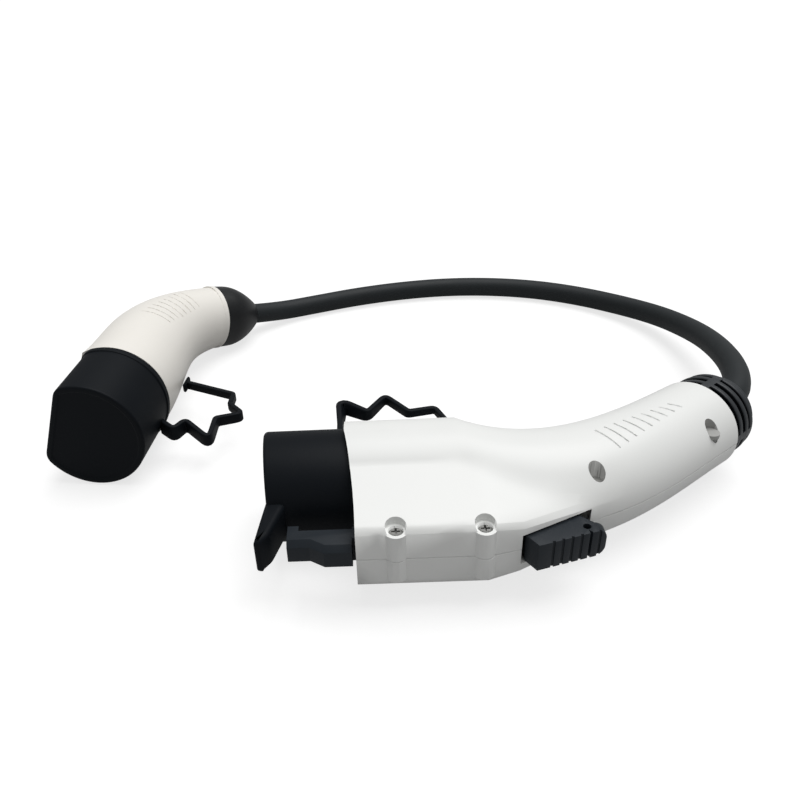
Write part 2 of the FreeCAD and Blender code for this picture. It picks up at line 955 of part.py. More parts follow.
def first_plug_shells():
    """Upper and lower half shells, parted along the middle plane."""
    room = cut("plug_hollow", first_plug_room(), first_plug_pillars())
    walls = cut("plug_walls", first_plug_form(), room)
    opened = cut("plug_opened", walls, fused("plug_cuts", first_plug_cuts()))
    far = 2 * (z.handle_end_along + z.elbow_end_along)
    corner = Vector(-far.value / 2, -far.value / 2, 0)
    upper_half = box("upper_half", far, far, far, Placement(corner, Rotation()))
    lower_half = box(
        "lower_half", far, far, far,
        Placement(corner - Vector(0, 0, far.value), Rotation()),
    )
    plain = common("upper_plain", opened, upper_half)
    upper = cut("type1_upper_shell", plain, grip_grooves())
    lower = common("type1_lower_shell", opened, lower_half)
    return [upper, lower]


def first_nose():
    """Round shroud with its base, its flange and the spigot behind the front wall."""
    base = -z.nose_base
    base_rear = base + z.block_step_thick + 1
    flange = z.front_wall + z.nose_gasket_thick
    seat = z.block_radius + z.block_fit
    room = seat + z.block_step
    return turned(
        "type1_nose",
        [
            (-z.nose_length, z.nose_radius - z.nose_wall),
            (-z.nose_length, z.nose_radius),
            (flange, z.nose_radius),
            (flange, z.nose_flange_radius),
            (flange + z.nose_flange_thick, z.nose_flange_radius),
            (flange + z.nose_flange_thick, z.nose_spigot_radius),
            (z.nose_spigot_end, z.nose_spigot_radius),
            (z.nose_spigot_end, room),
            (base_rear, room),
            (base_rear, seat),
            (base, seat),
            (base, z.nose_radius - z.nose_wall),
        ],
    )


def nose_gasket():
    """Flat ring between the front wall and the nose flange."""
    return turned(
        "type1_nose_gasket",
        [
            (z.front_wall, z.nose_radius),
            (z.front_wall, z.nose_radius + z.nose_gasket_wide),
            (z.front_wall + z.nose_gasket_thick, z.nose_radius + z.nose_gasket_wide),
            (z.front_wall + z.nose_gasket_thick, z.nose_radius),
        ],
    )


POWER_PLACES = [
    (-z.live_up, z.live_side),
    (-z.live_up, -z.live_side),
    (z.earth_down, 0),
]
SIGNAL_PLACES = [(z.pilot_down, z.pilot_side), (z.pilot_down, -z.pilot_side)]


def contact_block():
    """The insulating block that holds the five sleeves."""
    front = z.block_recess - z.nose_length
    step = z.block_step_thick + 1 - z.nose_base
    body = turned(
        "type1_contact_block",
        [
            (front, 0),
            (front, z.block_radius),
            (step, z.block_radius),
            (step, z.block_radius + z.block_step),
            (step + z.block_step_thick, z.block_radius + z.block_step),
            (step + z.block_step_thick, z.block_radius),
            (z.block_end, z.block_radius),
            (z.block_end, 0),
        ],
    )
    rounds = [(across, up, z.contact_radius) for across, up in POWER_PLACES]
    rounds += [(across, up, z.signal_radius) for across, up in SIGNAL_PLACES]
    loose = [(across, up, radius + z.contact_clearance) for across, up, radius in rounds]
    drilled(body, loose, z.nose_length + z.block_end, front - 1)
    return body


def sleeves(name, places, radius, bore):
    """Tubular contacts, open at the front."""
    front = z.block_recess + z.contact_recess - z.nose_length
    pieces = []
    for number, (across, up) in enumerate(places):
        place = (front.value, as_size(across).value, as_size(up).value)
        outside = cylinder(
            f"{name}_bar_{number}", radius, z.contact_tail - front, along_x(FRONT, *place)
        )
        hole = cylinder(
            f"{name}_bore_{number}", bore, z.contact_depth, along_x(FRONT, *place)
        )
        pieces.append(cut(f"{name}_{number}", outside, hole))
    return grouped(name, pieces)


def latch_lever():
    """Hook, arm and trigger in one moulding, in its rest place."""
    neck_end = z.front_wall + 1
    hook = [
        (-z.hook_reach, -z.hook_tip_outer),
        (-z.hook_waist, -z.hook_tip_outer),
        (-z.hook_bulge, -z.hook_outer),
        (-z.hook_shoulder, -z.hook_outer),
        (-z.hook_shoulder, -z.neck_outer),
    ]
    trigger = [
        (z.trigger_start - z.trigger_lead, -z.lever_outer),
        (z.trigger_start - z.trigger_lead, z.trigger_lead_drop - z.trigger_front),
        (z.trigger_start, -z.trigger_front),
        (z.trigger_end, -z.trigger_end_front),
        (z.trigger_end, -z.trigger_end_inner),
        (z.trigger_window_end - z.neck_gap * 2, -z.trigger_end_inner),
        (z.trigger_back_end, -z.trigger_back),
        (z.trigger_start - z.trigger_lead, -z.trigger_back),
    ]
    arm = [
        (neck_end, -z.neck_outer),
        (neck_end + z.trigger_lead, -z.lever_outer),
    ]
    inside = [
        (z.trigger_start - 2 * z.trigger_lead, -z.lever_inner),
        (neck_end + z.trigger_lead, -z.lever_inner),
        (neck_end, -z.neck_inner),
        (-z.hook_shoulder, -z.neck_inner),
        (-z.hook_shoulder, -z.hook_inner),
        (z.hook_tooth_wide - z.hook_reach, -z.hook_inner),
        (z.hook_tooth_wide - z.hook_reach, -z.hook_tooth),
        (-z.hook_reach, -z.hook_tooth),
    ]
    body = new_body("latch_lever")
    sketch = new_sketch(body, "XY_Plane")
    outline(sketch, hook + arm + trigger + inside)
    pad(body, sketch, z.lever_half * 2, both_ways=True)
    thumb = new_sketch(body, "XY_Plane")
    outline(thumb, trigger)
    pad(body, thumb, z.trigger_half * 2, both_ways=True)
    holes = new_sketch(body, "XY_Plane")
    circles(
        holes,
        [
            (z.pivot_along, -z.pivot_offset, z.pivot_radius + z.pivot_clearance),
            (z.padlock_along, -z.padlock_offset, z.padlock_hole_radius),
        ],
    )
    pocket(body, holes, z.trigger_half * 4, both_ways=True)
    slope = (z.trigger_front - z.trigger_end_front) / (z.trigger_end - z.trigger_start)
    grooves = new_sketch(body, "XY_Plane")
    for number in range(int(z.trigger_groove_count.value)):
        start = z.trigger_groove_first + z.trigger_groove_pitch * number
        floor = slope * (start - z.trigger_start) - z.trigger_front + z.trigger_groove_deep
        outline(
            grooves,
            [
                (start, floor),
                (start + z.trigger_groove_wide, floor),
                (start + z.trigger_groove_wide, floor - 2 * z.trigger_groove_deep),
                (start, floor - 2 * z.trigger_groove_deep),
            ],
        )
    pocket(body, grooves, z.trigger_half * 4, both_ways=True)
    seat = new_sketch(body, "XZ_Plane", z.spring_bottom)
    circles(seat, [(z.spring_along, 0, z.spring_radius + z.spring_room)])
    pocket(body, seat, z.spring_bottom - z.lever_inner + 1)
    return body


def eased_lever(body):
    """Chamfer the hook and round the corners of the trigger."""
    doc.recompute()
    tip = body.Tip
    picked = []
    for number, edge in enumerate(tip.Shape.Edges, start=1):
        bounds = edge.BoundBox
        along_hook = bounds.XMax < 0.1 - z.hook_shoulder.value and bounds.XLength > 3.0
        outer = bounds.YMax < 0.1 - z.hook_tip_outer.value
        if along_hook and outer and bounds.ZLength < 0.1:
            picked.append(f"Edge{number}")
    hook = body.newObject("PartDesign::Chamfer", "latch_lever_hook_edge")
    hook.Base = (tip, picked)
    bind(hook, Size=z.hook_edge)
    doc.recompute()
    picked = []
    for number, edge in enumerate(hook.Shape.Edges, start=1):
        bounds = edge.BoundBox
        at_end = bounds.XMin > z.trigger_end.value - 0.1
        if at_end and bounds.YLength > 2.0 and bounds.ZLength < 0.1:
            picked.append(f"Edge{number}")
    end = body.newObject("PartDesign::Fillet", "latch_lever_end_round")
    end.Base = (hook, picked)
    bind(end, Radius=z.trigger_corner)
    return body


def latch_spring():
    """Compression spring between the lever and the wall of the barrel."""
    length = z.spring_bottom.value - z.spring_seat.value
    wire = z.spring_wire.value
    turns = z.spring_turns.value
    coil = z.spring_radius.value - wire
    rise = length - 2 * wire

    def place(share):
        angle = 2 * math.pi * turns * share
        return Vector(coil * math.cos(angle), coil * math.sin(angle), rise * share)

    steps = int(turns * 4)
    edges = [
        Part.Arc(place(n / steps), place((n + 0.5) / steps), place((n + 1) / steps)).toShape()
        for n in range(steps)
    ]
    section = Part.Wire([Part.makeCircle(wire, place(0.0), Vector(0, 1, 0))])
    shape = Part.Wire(edges).makePipeShell([section], True, False)
    spring = doc.addObject("Part::Feature", "latch_spring")
    spring.Shape = shape
    spring.Placement = Placement(
        Vector(z.spring_along.value, -z.spring_bottom.value + wire, 0),
        Rotation(Vector(1, 0, 0), -90),
    )
    return spring


def switch_and_board():
    """Small switch on a board, with one resistor on the same board."""
    half = z.switch_side / 2
    place = Vector(z.switch_start.value, -z.switch_front.value, -half.value)
    case = box(
        "switch_case", z.switch_length, z.switch_side, z.switch_side,
        Placement(place, Rotation()),
    )
    knob = box(
        "switch_plunger", z.plunger_length, z.plunger_high * 2, z.plunger_length,
        Placement(
            place + Vector(z.rib_inset.value, -z.plunger_high.value, half.value / 2),
            Rotation(),
        ),
    )
    switch = fused("microswitch", [case, knob])
    board_low = Vector(
        (z.switch_start - (z.board_length - z.switch_length) / 2).value,
        -z.switch_front.value,
        -(half + z.board_thick).value,
    )
    plate = box(
        "board_plate", z.board_length, z.board_wide, z.board_thick,
        Placement(board_low, Rotation()),
    )
    stick = cylinder(
        "board_resistor_bar", z.resistor_radius, z.resistor_length,
        along_x(
            FRONT,
            (z.switch_start + z.rib_inset).value,
            (z.switch_side + 2 * z.resistor_radius - z.switch_front).value,
            (z.resistor_radius - half).value - 0.1,
        ),
    )
    return [switch, fused("resistor_board", [plate, stick])]


def cross_screw(name, frame, seat, length):
    """A pan-head screw with a cross recess, seated at a height of its frame."""
    body = upright(
        name,
        [
            (0, seat - length),
            (z.screw_radius / 2, seat - length),
            (z.screw_radius, seat - length + z.screw_radius),
            (z.screw_radius, seat),
            (z.screw_head_radius, seat),
            (z.screw_head_radius, seat + z.screw_head_high * 0.6),
            (z.screw_head_radius * 0.7, seat + z.screw_head_high),
            (0, seat + z.screw_head_high),
        ],
        frame,
    )
    cross = new_sketch(body, "XY_Plane", seat + z.screw_head_high - z.cross_deep)
    wide = z.cross_wide / 2
    reach = z.cross_reach
    outline(
        cross,
        [
            (reach, -wide), (reach, wide), (wide, wide), (wide, reach),
            (-wide, reach), (-wide, wide), (-reach, wide), (-reach, -wide),
            (-wide, -wide), (-wide, -reach), (wide, -reach), (wide, -wide),
        ],
    )
    pocket(body, cross, z.cross_deep * 2, forward=True)
    return body


def screw_set(name, frames, seat, length):
    """Identical screws as one node."""
    screws = [
        cross_screw(f"{name}_{number}", frame, seat, length)
        for number, frame in enumerate(frames, start=1)
    ]
    return grouped(name, screws)


def strain_boot():
    """Rubber boot whose neck is held by the end wall of the handle."""
    wall = z.handle_end_wall
    flange = wall + z.boot_flange_thick
    body = turned(
        "boot_turned",
        [
            (-flange, z.cable_radius),
            (-flange, z.boot_flange_radius),
            (-wall, z.boot_flange_radius),
            (-wall, z.boot_neck_radius),
            (0, z.boot_neck_radius),
            (0, z.boot_root_radius),
            (z.boot_shoulder, z.boot_shoulder_radius),
            (z.boot_length - z.boot_dome, z.boot_dome_radius),
            (z.boot_length, z.boot_end_radius),
            (z.boot_length, z.cable_radius),
        ],
        HANDLE_END,
    )
    reach = z.boot_root_radius + 2
    slots = []
    last = int(z.boot_slot_count.value) - 1
    for number in range(last + 1):
        start = z.boot_slot_first + z.boot_slot_pitch * number
        outer = cylinder(
            f"boot_slot_outer_{number}", reach, z.boot_slot_wide,
            along_x(HANDLE_END, start.value),
        )
        core = cylinder(
            f"boot_slot_core_{number}",
            z.boot_shoulder_radius - z.boot_slot_deep
            - (z.boot_length - z.boot_shoulder) / 2 * (number == last),
            z.boot_slot_wide,
            along_x(HANDLE_END, start.value),
        )
        slots.append(cut(f"boot_slot_{number}", outer, core))
    spines = []
    for number in range(2):
        frame = HANDLE_END * Placement(
            Vector(), Rotation(Vector(1, 0, 0), 90 * number)
        )
        corner = Vector(0, -reach.value, -z.boot_spine_wide.value / 2)
        spines.append(
            box(
                f"boot_spine_{number}", z.boot_length, reach * 2, z.boot_spine_wide,
                frame * Placement(corner, Rotation()),
            )
        )
    rings = cut("boot_slots", fused("boot_slot_rings", slots), fused("boot_spines", spines))
    boot = cut("boot_slotted", body, rings)
    boot.Label = "strain_relief_boot"
    return boot


def cable_clamp():
    """Arched saddle over the cable, screwed to two posts."""
    frame = at(HANDLE_END, -z.clamp_back.value)
    low = -z.clamp_seat
    inner = z.cable_radius
    outer = inner + z.clamp_thick
    arch = cylinder(
        "clamp_arch", outer, z.clamp_wide, along_x(frame, -z.clamp_wide.value / 2)
    )
    foot = box(
        "clamp_foot", z.clamp_wide, z.clamp_reach * 2, z.clamp_thick,
        frame * Placement(
            Vector(-z.clamp_wide.value / 2, -z.clamp_reach.value, low.value), Rotation()
        ),
    )
    bore = cylinder(
        "clamp_bore", inner, z.clamp_wide * 2, along_x(frame, -z.clamp_wide.value)
    )
    under = box(
        "clamp_under", z.clamp_wide * 2, z.clamp_reach * 4, outer * 2,
        frame * Placement(
            Vector(-z.clamp_wide.value, -2 * z.clamp_reach.value, low.value - 2 * outer.value),
            Rotation(),
        ),
    )
    holes = [
        column(
            f"clamp_hole_{number}", place, z.screw_radius + z.screw_slack,
            low - 1, low + z.clamp_thick + 1,
        )
        for number, place in enumerate(CLAMP_SCREWS, start=1)
    ]
    solid = fused("clamp_solid", [arch, foot])
    return cut("cable_clamp", solid, fused("clamp_cuts", [bore, under] + holes))


def jacket(name, frame, start, stop):
    """The cable's own jacket where a plug holds it."""
    return cylinder(name, z.cable_radius, stop - start, along_x(frame, start.value))


def wires(name, begin, finish, middle, far_frame, places):
    """Insulated wires from contact tails to the end of the jacket."""
    pieces = []
    lead = z.wire_lead.value
    share = z.bundle_share.value
    for number, (across, up, radius) in enumerate(places):
        across = as_size(across).value
        up = as_size(up).value
        wide = Vector(0, across, up)
        bunched = wide * share
        route = [begin.multVec(wide), begin.multVec(wide + Vector(lead, 0, 0))]
        route.append(middle.multVec(bunched))
        route.append(far_frame.multVec(bunched + Vector(finish.value - lead, 0, 0)))
        route.append(far_frame.multVec(bunched + Vector(finish.value, 0, 0)))
        pieces.append(tube(f"{name}_{number}", route, radius)[0])
    return grouped(name, pieces)


def first_cap():
    """Rubber cap with a dished end and a pull tab."""
    inner = z.nose_radius + z.cap_clearance
    outer = inner + z.cap_wall
    inside_end = z.nose_length + z.cap_clearance
    end = inside_end + z.cap_wall
    edge = z.cap_edge
    cup = turned(
        "cap_cup",
        [
            (z.cap_recess_deep - end, 0),
            (z.cap_recess_deep - end, z.cap_recess_radius - z.cap_recess_deep),
            (-end, z.cap_recess_radius),
            (-end, outer - edge),
            (edge - end, outer),
            (-z.cap_gap, outer),
            (-z.cap_gap, inner),
            (-inside_end, inner),
            (-inside_end, 0),
        ],
    )
    root = inner + z.tab_root
    tab = prism(
        "cap_tab",
        [
            (-end, -root),
            (-end, -outer),
            (-end - z.tab_bend, -z.tab_neck_rise),
            (-end - z.tab_bend, -z.tab_reach),
            (z.tab_tip - end, -z.tab_reach),
            (z.tab_neck_thick - end, -z.tab_neck_rise),
            (z.tab_foot_thick - end, -z.tab_foot_rise),
            (z.tab_root_thick - end, -root),
        ],
        z.tab_half,
    )
    return fused("type1_cap", [cup, tab])


def band(name, frame, points, height):
    """A flat rubber band on edge, along a zigzag in plan."""
    half = z.strap_thick / 2
    pieces = []
    places = [Vector(as_size(a).value, as_size(b).value, 0) for a, b in points]
    low = Vector(0, 0, -height.value / 2)
    for number, (start, stop) in enumerate(zip(places, places[1:])):
        run = stop - start
        turn = math.degrees(math.atan2(run.y, run.x))
        place = frame * turned_to(turn, start + low) * Placement(
            Vector(0, -half.value, 0), Rotation()
        )
        pieces.append(box(f"{name}_run_{number}", run.Length, z.strap_thick, height, place))
    for number, corner in enumerate(places[1:-1]):
        place = frame * Placement(corner + low, Rotation())
        pieces.append(cylinder(f"{name}_corner_{number}", half, height, place))
    return pieces


FIRST_STRAP = [
    (-8.9, 25.2), (-8.9, 44.8), (-8.7, 66.1), (5.0, 55.8), (14.6, 71.7), (25.8, 56.1),
    (39.7, 58.9), (44.4, 46.3), (44.4, 28.4),
]


def first_strap():
    """Zigzag strap from the cap to the far side of the barrel."""
    return fused("type1_strap", band("strap_1", FRONT, FIRST_STRAP, z.strap_high))


SCREW_SEAT = z.column_top - z.screw_head_high - z.screw_head_sunk
CLAMP_TOP = z.clamp_thick - z.clamp_seat
ALL_FIRST = [(across, up, z.wire_radius) for across, up in POWER_PLACES]
ALL_FIRST += [(across, up, z.signal_wire_radius) for across, up in SIGNAL_PLACES]


def first_plug():
    """Every piece of the first plug."""
    pieces = first_plug_shells()
    pieces += [first_nose(), nose_gasket(), contact_block()]
    pieces.append(
        sleeves("type1_power_contacts", POWER_PLACES, z.contact_radius, z.contact_bore)
    )
    pieces.append(
        sleeves("type1_signal_contacts", SIGNAL_PLACES, z.signal_radius, z.signal_bore)
    )
    pieces.append(eased_lever(latch_lever()))
    pieces.append(
        column(
            "latch_pivot_pin",
            at(FRONT, z.pivot_along.value, -z.pivot_offset.value),
            z.pivot_radius,
            -z.pivot_length / 2,
            z.pivot_length / 2,
        )
    )
    pieces.append(latch_spring())
    pieces += switch_and_board()
    pieces.append(screw_set("front_shell_screws", FRONT_SCREWS, SCREW_SEAT, z.screw_length))
    pieces.append(
        screw_set("handle_shell_screws", GRIP_SCREWS, z.grip_screw_seat, z.screw_length)
    )
    plugs = [
        column(f"screw_plug_{number}", frame, z.plug_radius, z.plug_seat,
               z.plug_seat + z.plug_thick)
        for number, frame in enumerate(GRIP_SCREWS, start=1)
    ]
    pieces.append(grouped("screw_plugs", plugs))
    pieces += [strain_boot(), cable_clamp()]
    pieces.append(screw_set("clamp_screws", CLAMP_SCREWS, CLAMP_TOP, z.clamp_screw_length))
    pieces.append(jacket("type1_cable_tail", HANDLE_END, -z.tail_inside, z.boot_length))
    waist = at(FRONT, z.waist_along.value, z.waist_across.value, 0.0, z.waist_turn.value)
    pieces.append(
        wires(
            "type1_wires",
            at(FRONT, z.contact_tail.value),
            -z.tail_inside,
            waist,
            HANDLE_END,
            ALL_FIRST,
        )
    )
    pieces += [first_cap(), first_strap()]
    return pieces


# Second plug: one-piece elbow, keyed round nose and gland
ELBOW_FRONT = z.keyed_cap_length + z.keyed_cap_gap
BEND = [
    ("front", ELBOW_FRONT, 0.0, 0.0, z.elbow_front_radius),
    ("mid", z.elbow_mid_along, 0.0, 0.0, z.elbow_mid_radius),
    ("bend", z.elbow_bend_along, z.elbow_bend_across, z.elbow_bend_turn,
     z.elbow_bend_radius),
    ("late", z.elbow_late_along, z.elbow_late_across, z.elbow_late_turn,
     z.elbow_late_radius),
    ("end", z.elbow_end_along, z.elbow_end_across, z.elbow_end_turn, z.elbow_end_radius),
]


def elbow_form(name, inset, front_inset=0.0, ruled=False):
    """The bent housing, set in by a wall at its sides and its front."""
    sections = []
    for place, along, across, turn, radius in BEND:
        along = as_size(along).value
        across = as_size(across).value
        turn = as_size(turn).value
        if place == "front":
            along += front_inset
        section = oval(
            f"{name}_{place}", along, -across, -turn, radius - inset, radius - inset, ELBOW
        )
        sections.append(section)
    return loft(name, sections, ruled)


def flat_side(name, offset):
    """A block that trims the keyed side of the second plug to a flat."""
    long = z.elbow_end_along * 2
    corner = Vector(-z.elbow_end_along.value / 2, offset.value, -long.value / 2)
    return box(name, long, long, long, ELBOW * Placement(corner, Rotation()))


def ridge_grooves(skin):
    """Grooves across the upper side of the bend, as a tool."""
    bars = []
    count = int(z.ridge_count.value)
    for number in range(count):
        share = number / (count - 1)
        turn = z.ridge_first_turn.value * (1 - share) + z.ridge_last_turn.value * share
        along = z.ridge_first_along.value * (1 - share) + z.ridge_last_along.value * share
        across = z.ridge_first_across.value * (1 - share) + z.ridge_last_across.value * share
        frame = ELBOW * turned_to(-turn, Vector(along, -across, 0)) * Placement(
            Vector(-z.ridge_wide.value / 2, -z.ridge_half.value, 0), Rotation()
        )
        bars.append(
            box(f"ridge_{number}", z.ridge_wide, z.ridge_half * 2, z.elbow_front_radius, frame)
        )
    return common("ridge_grooves", fused("ridge_bars", bars), skin)


def elbow_housing():
    """Hollow elbow with a threaded spigot for the gland nut."""
    flat = z.keyed_flat + z.elbow_flat_step
    full = elbow_form("elbow_round", as_size(0.0))
    outside = cut("elbow_flatted", full, flat_side("elbow_flat_outside", flat))
    bead = cylinder(
        "elbow_bead_ring", z.elbow_end_radius + z.elbow_bead, z.elbow_bead_wide,
        along_x(GLAND, -z.elbow_bead_wide.value),
    )
    spigot = cylinder(
        "gland_spigot", z.gland_spigot_radius, z.gland_spigot_length + z.elbow_wall,
        along_x(GLAND, -z.elbow_wall.value),
    )
    wall = z.elbow_wall
    hollow = cut(
        "elbow_hollow",
        elbow_form("elbow_room", wall, wall.value, True),
        flat_side("elbow_flat_inside", flat - wall),
    )
    outlet = cylinder(
        "elbow_outlet", z.gland_bore, z.gland_spigot_length * 3,
        along_x(GLAND, -1.5 * z.gland_spigot_length.value),
    )
    back = box(
        "elbow_back_trim", z.gland_length, z.elbow_end_radius * 3, z.elbow_end_radius * 3,
        GLAND * Placement(
            Vector(
                -z.elbow_wall.value,
                -1.5 * z.elbow_end_radius.value,
                -1.5 * z.elbow_end_radius.value,
            ),
            Rotation(),
        ),
    )
    bore = cylinder(
        "elbow_bore", z.keyed_spigot_radius + z.keyed_spigot_fit, wall * 3,
        along_x(ELBOW, (ELBOW_FRONT - wall).value),
    )
    solid = fused("elbow_solid", [outside, bead, spigot])
    hollow_trimmed = cut("elbow_hollow_trimmed", hollow, back)
    tools = fused("elbow_cuts", [hollow_trimmed, outlet, bore])
    opened = cut("elbow_opened", solid, tools)
    skin = cut("ridge_skin", full, elbow_form("ridge_floor", z.ridge_deep))
    return cut("type2_housing", opened, ridge_grooves(skin))


def keyed_nose():
    """Keyed shroud, its base and the spigot that enters the elbow."""
    wall = z.keyed_shroud_wall
    outer = z.keyed_cap_radius - z.keyed_cap_wall - z.cap_clearance
    flat = z.keyed_flat - z.keyed_cap_wall - z.cap_clearance
    front = z.keyed_cap_wall + z.keyed_cap_room
    rear = ELBOW_FRONT - z.keyed_gasket_thick
    seat = z.keyed_block_radius + z.block_fit
    body = new_body("type2_nose", ELBOW)
    shroud = new_sketch(body, "YZ_Plane", front)
    keyed_outline(shroud, outer, flat)
    pad(body, shroud, rear - front)
    spigot = new_sketch(body, "YZ_Plane", rear)
    circles(spigot, [(0, 0, z.keyed_spigot_radius)])
    pad(body, spigot, z.keyed_spigot_length + z.keyed_gasket_thick)
    inside = new_sketch(body, "YZ_Plane", front)
    keyed_outline(inside, outer - wall, flat - wall)
    pocket(body, inside, z.keyed_shroud_base - front, forward=True)
    drilled(body, [(0, 0, seat)], z.keyed_cap_length, z.keyed_block_front - 0.5)
    behind = z.keyed_block_step_along
    drilled(body, [(0, 0, seat + z.keyed_block_step)], z.keyed_cap_length, behind)
    return body


def keyed_gasket():
    """Flat ring between the nose base and the elbow."""
    start = ELBOW_FRONT - z.keyed_gasket_thick
    outer = z.keyed_spigot_radius + z.keyed_gasket_wide
    return turned(
        "type2_nose_gasket",
        [
            (start, z.keyed_spigot_radius),
            (start, outer),
            (ELBOW_FRONT, outer),
            (ELBOW_FRONT, z.keyed_spigot_radius),
        ],
        ELBOW,
    )


KEYED_POWER = [(0, 0), (0, z.keyed_live_side), (0, -z.keyed_live_side)]
KEYED_SIGNAL = [
    (z.keyed_signal_up, z.keyed_signal_side),
    (z.keyed_signal_up, -z.keyed_signal_side),
]
KEYED_BLOCK_END = ELBOW_FRONT + z.keyed_spigot_length


def keyed_block():
    """Insulating block of the second plug."""
    step = z.keyed_block_step_along
    radius = z.keyed_block_radius
    body = turned(
        "type2_contact_block",
        [
            (z.keyed_block_front, 0),
            (z.keyed_block_front, radius),
            (step, radius),
            (step, radius + z.keyed_block_step),
            (KEYED_BLOCK_END, radius + z.keyed_block_step),
            (KEYED_BLOCK_END, 0),
        ],
        ELBOW,
    )
    rounds = [
        (across, up, z.pin_radius + z.contact_clearance) for across, up in KEYED_POWER
    ]
    rounds += [
        (across, up, z.signal_pin_radius + z.contact_clearance)
        for across, up in KEYED_SIGNAL
    ]
    drilled(body, rounds, KEYED_BLOCK_END, z.keyed_block_front - 1)
    return body


def pins(name, places, radius, front):
    """Round pins with eased tips."""
    pieces = []
    for number, (across, up) in enumerate(places):
        frame = ELBOW * Placement(
            Vector(0, as_size(across).value, as_size(up).value), Rotation()
        )
        ease = radius / 3
        pieces.append(
            turned(
                f"{name}_{number}",
                [
                    (front, 0),
                    (front, radius - ease),
                    (front + ease, radius),
                    (KEYED_BLOCK_END + z.pin_tail, radius),
                    (KEYED_BLOCK_END + z.pin_tail, 0),
                ],
                frame,
            )
        )
    return grouped(name, pieces)


def gland_nut():
    """Domed clamping nut, hollow for the spigot and the claw."""
    spigot = z.gland_spigot_radius + z.gland_fit
    bore = z.gland_bore + z.gland_fit
    spigot_end = z.gland_spigot_length + z.gland_fit
    claw_end = spigot_end + z.claw_length + z.gland_fit
    cone_end = claw_end + z.claw_cone
    return turned(
        "type2_gland_nut",
        [
            (0, spigot),
            (0, z.gland_radius),
            (z.gland_shoulder, z.gland_radius - 0.5),
            (z.gland_mid_along, z.gland_mid),
            (z.gland_length, z.gland_mouth),
            (z.gland_length, z.cable_radius),
            (cone_end + 2, z.cable_radius),
            (cone_end, z.claw_nose + z.gland_fit),
            (claw_end, bore),
            (spigot_end, bore),
            (spigot_end, spigot),
        ],
        GLAND,
    )


def gland_seal():
    """Rubber ring between the spigot bore and the cable."""
    start = z.gland_seal_start
    return turned(
        "type2_gland_seal",
        [
            (start, z.cable_radius),
            (start, z.gland_bore),
            (z.gland_spigot_length, z.gland_bore),
            (z.gland_spigot_length, z.cable_radius),
        ],
        GLAND,
    )


def clamp_claw():
    """Split ring that the nut presses on the cable."""
    start = z.gland_spigot_length
    stop = start + z.claw_length
    body = turned(
        "type2_clamp_claw",
        [
            (start, z.cable_radius),
            (start, z.gland_bore),
            (stop, z.gland_bore),
            (stop + z.claw_cone, z.claw_nose),
            (stop + z.claw_cone, z.cable_radius),
        ],
        GLAND,
    )
    split = new_sketch(body, "YZ_Plane", start + 2)
    half = z.claw_slot / 2
    outline(
        split,
        [(-z.gland_bore * 2, -half), (-z.gland_bore * 2, half),
         (z.gland_bore * 2, half), (z.gland_bore * 2, -half)],
    )
    pocket(body, split, z.claw_length * 2, forward=True)
    other = new_sketch(body, "YZ_Plane", start + 2)
    outline(
        other,
        [(-half, -z.gland_bore * 2), (-half, z.gland_bore * 2),
         (half, z.gland_bore * 2), (half, -z.gland_bore * 2)],
    )
    pocket(body, other, z.claw_length * 2, forward=True)
    return body


def keyed_cap():
    """Rubber cap of the keyed nose, with a lip at its mouth."""
    inner = z.keyed_cap_radius - z.keyed_cap_wall
    inner_flat = z.keyed_flat - z.keyed_cap_wall
    body = new_body("type2_cap", ELBOW)
    cup = new_sketch(body, "YZ_Plane")
    keyed_outline(cup, z.keyed_cap_radius, z.keyed_flat)
    pad(body, cup, z.keyed_cap_length)
    lip = new_sketch(body, "YZ_Plane", z.keyed_cap_length - z.keyed_cap_lip_wide)
    keyed_outline(
        lip, z.keyed_cap_radius + z.keyed_cap_lip, z.keyed_flat + z.keyed_cap_lip
    )
    pad(body, lip, z.keyed_cap_lip_wide)
    hollow = new_sketch(body, "YZ_Plane", z.keyed_cap_wall)
    keyed_outline(hollow, inner, inner_flat)
    pocket(body, hollow, z.keyed_cap_length, forward=True)
    doc.recompute()
    tip = body.Tip
    picked = [
        f"Edge{number}"
        for number, edge in enumerate(tip.Shape.Edges, start=1)
        if edge.BoundBox.XMax < 0.1
    ]
    end = body.newObject("PartDesign::Chamfer", "type2_cap_edge")
    end.Base = (tip, picked)
    bind(end, Size=z.keyed_cap_edge)
    return body


# Zigzag of the second strap in plan, at one height above the surface
SECOND_STRAP = [
    (-105.0, 68.0), (-97.9, 60.7), (-93.3, 69.9), (-77.7, 51.4), (-77.2, 71.7),
    (-63.0, 75.6), (-71.6, 86.5), (-70.8, 97.1), (-100.6, 112.6),
]


def second_strap():
    """Zigzag strap from the keyed cap to a foot at the side of the elbow."""
    frame = Placement(Vector(0, 0, FLOOR + z.second_strap_up.value), Rotation())
    pieces = band("strap_2", frame, SECOND_STRAP, z.strap_high)
    end = SECOND_STRAP[-1]
    foot = at(frame, end[0], end[1], -z.strap_high.value / 2, z.elbow_turn_in_plan.value)
    corner = Placement(Vector(-z.anchor_half.value, 0, 0), Rotation())
    pieces.append(
        box("strap_2_foot", z.anchor_half * 2, z.anchor_thick, z.strap_high, foot * corner)
    )
    return fused("type2_strap", pieces)


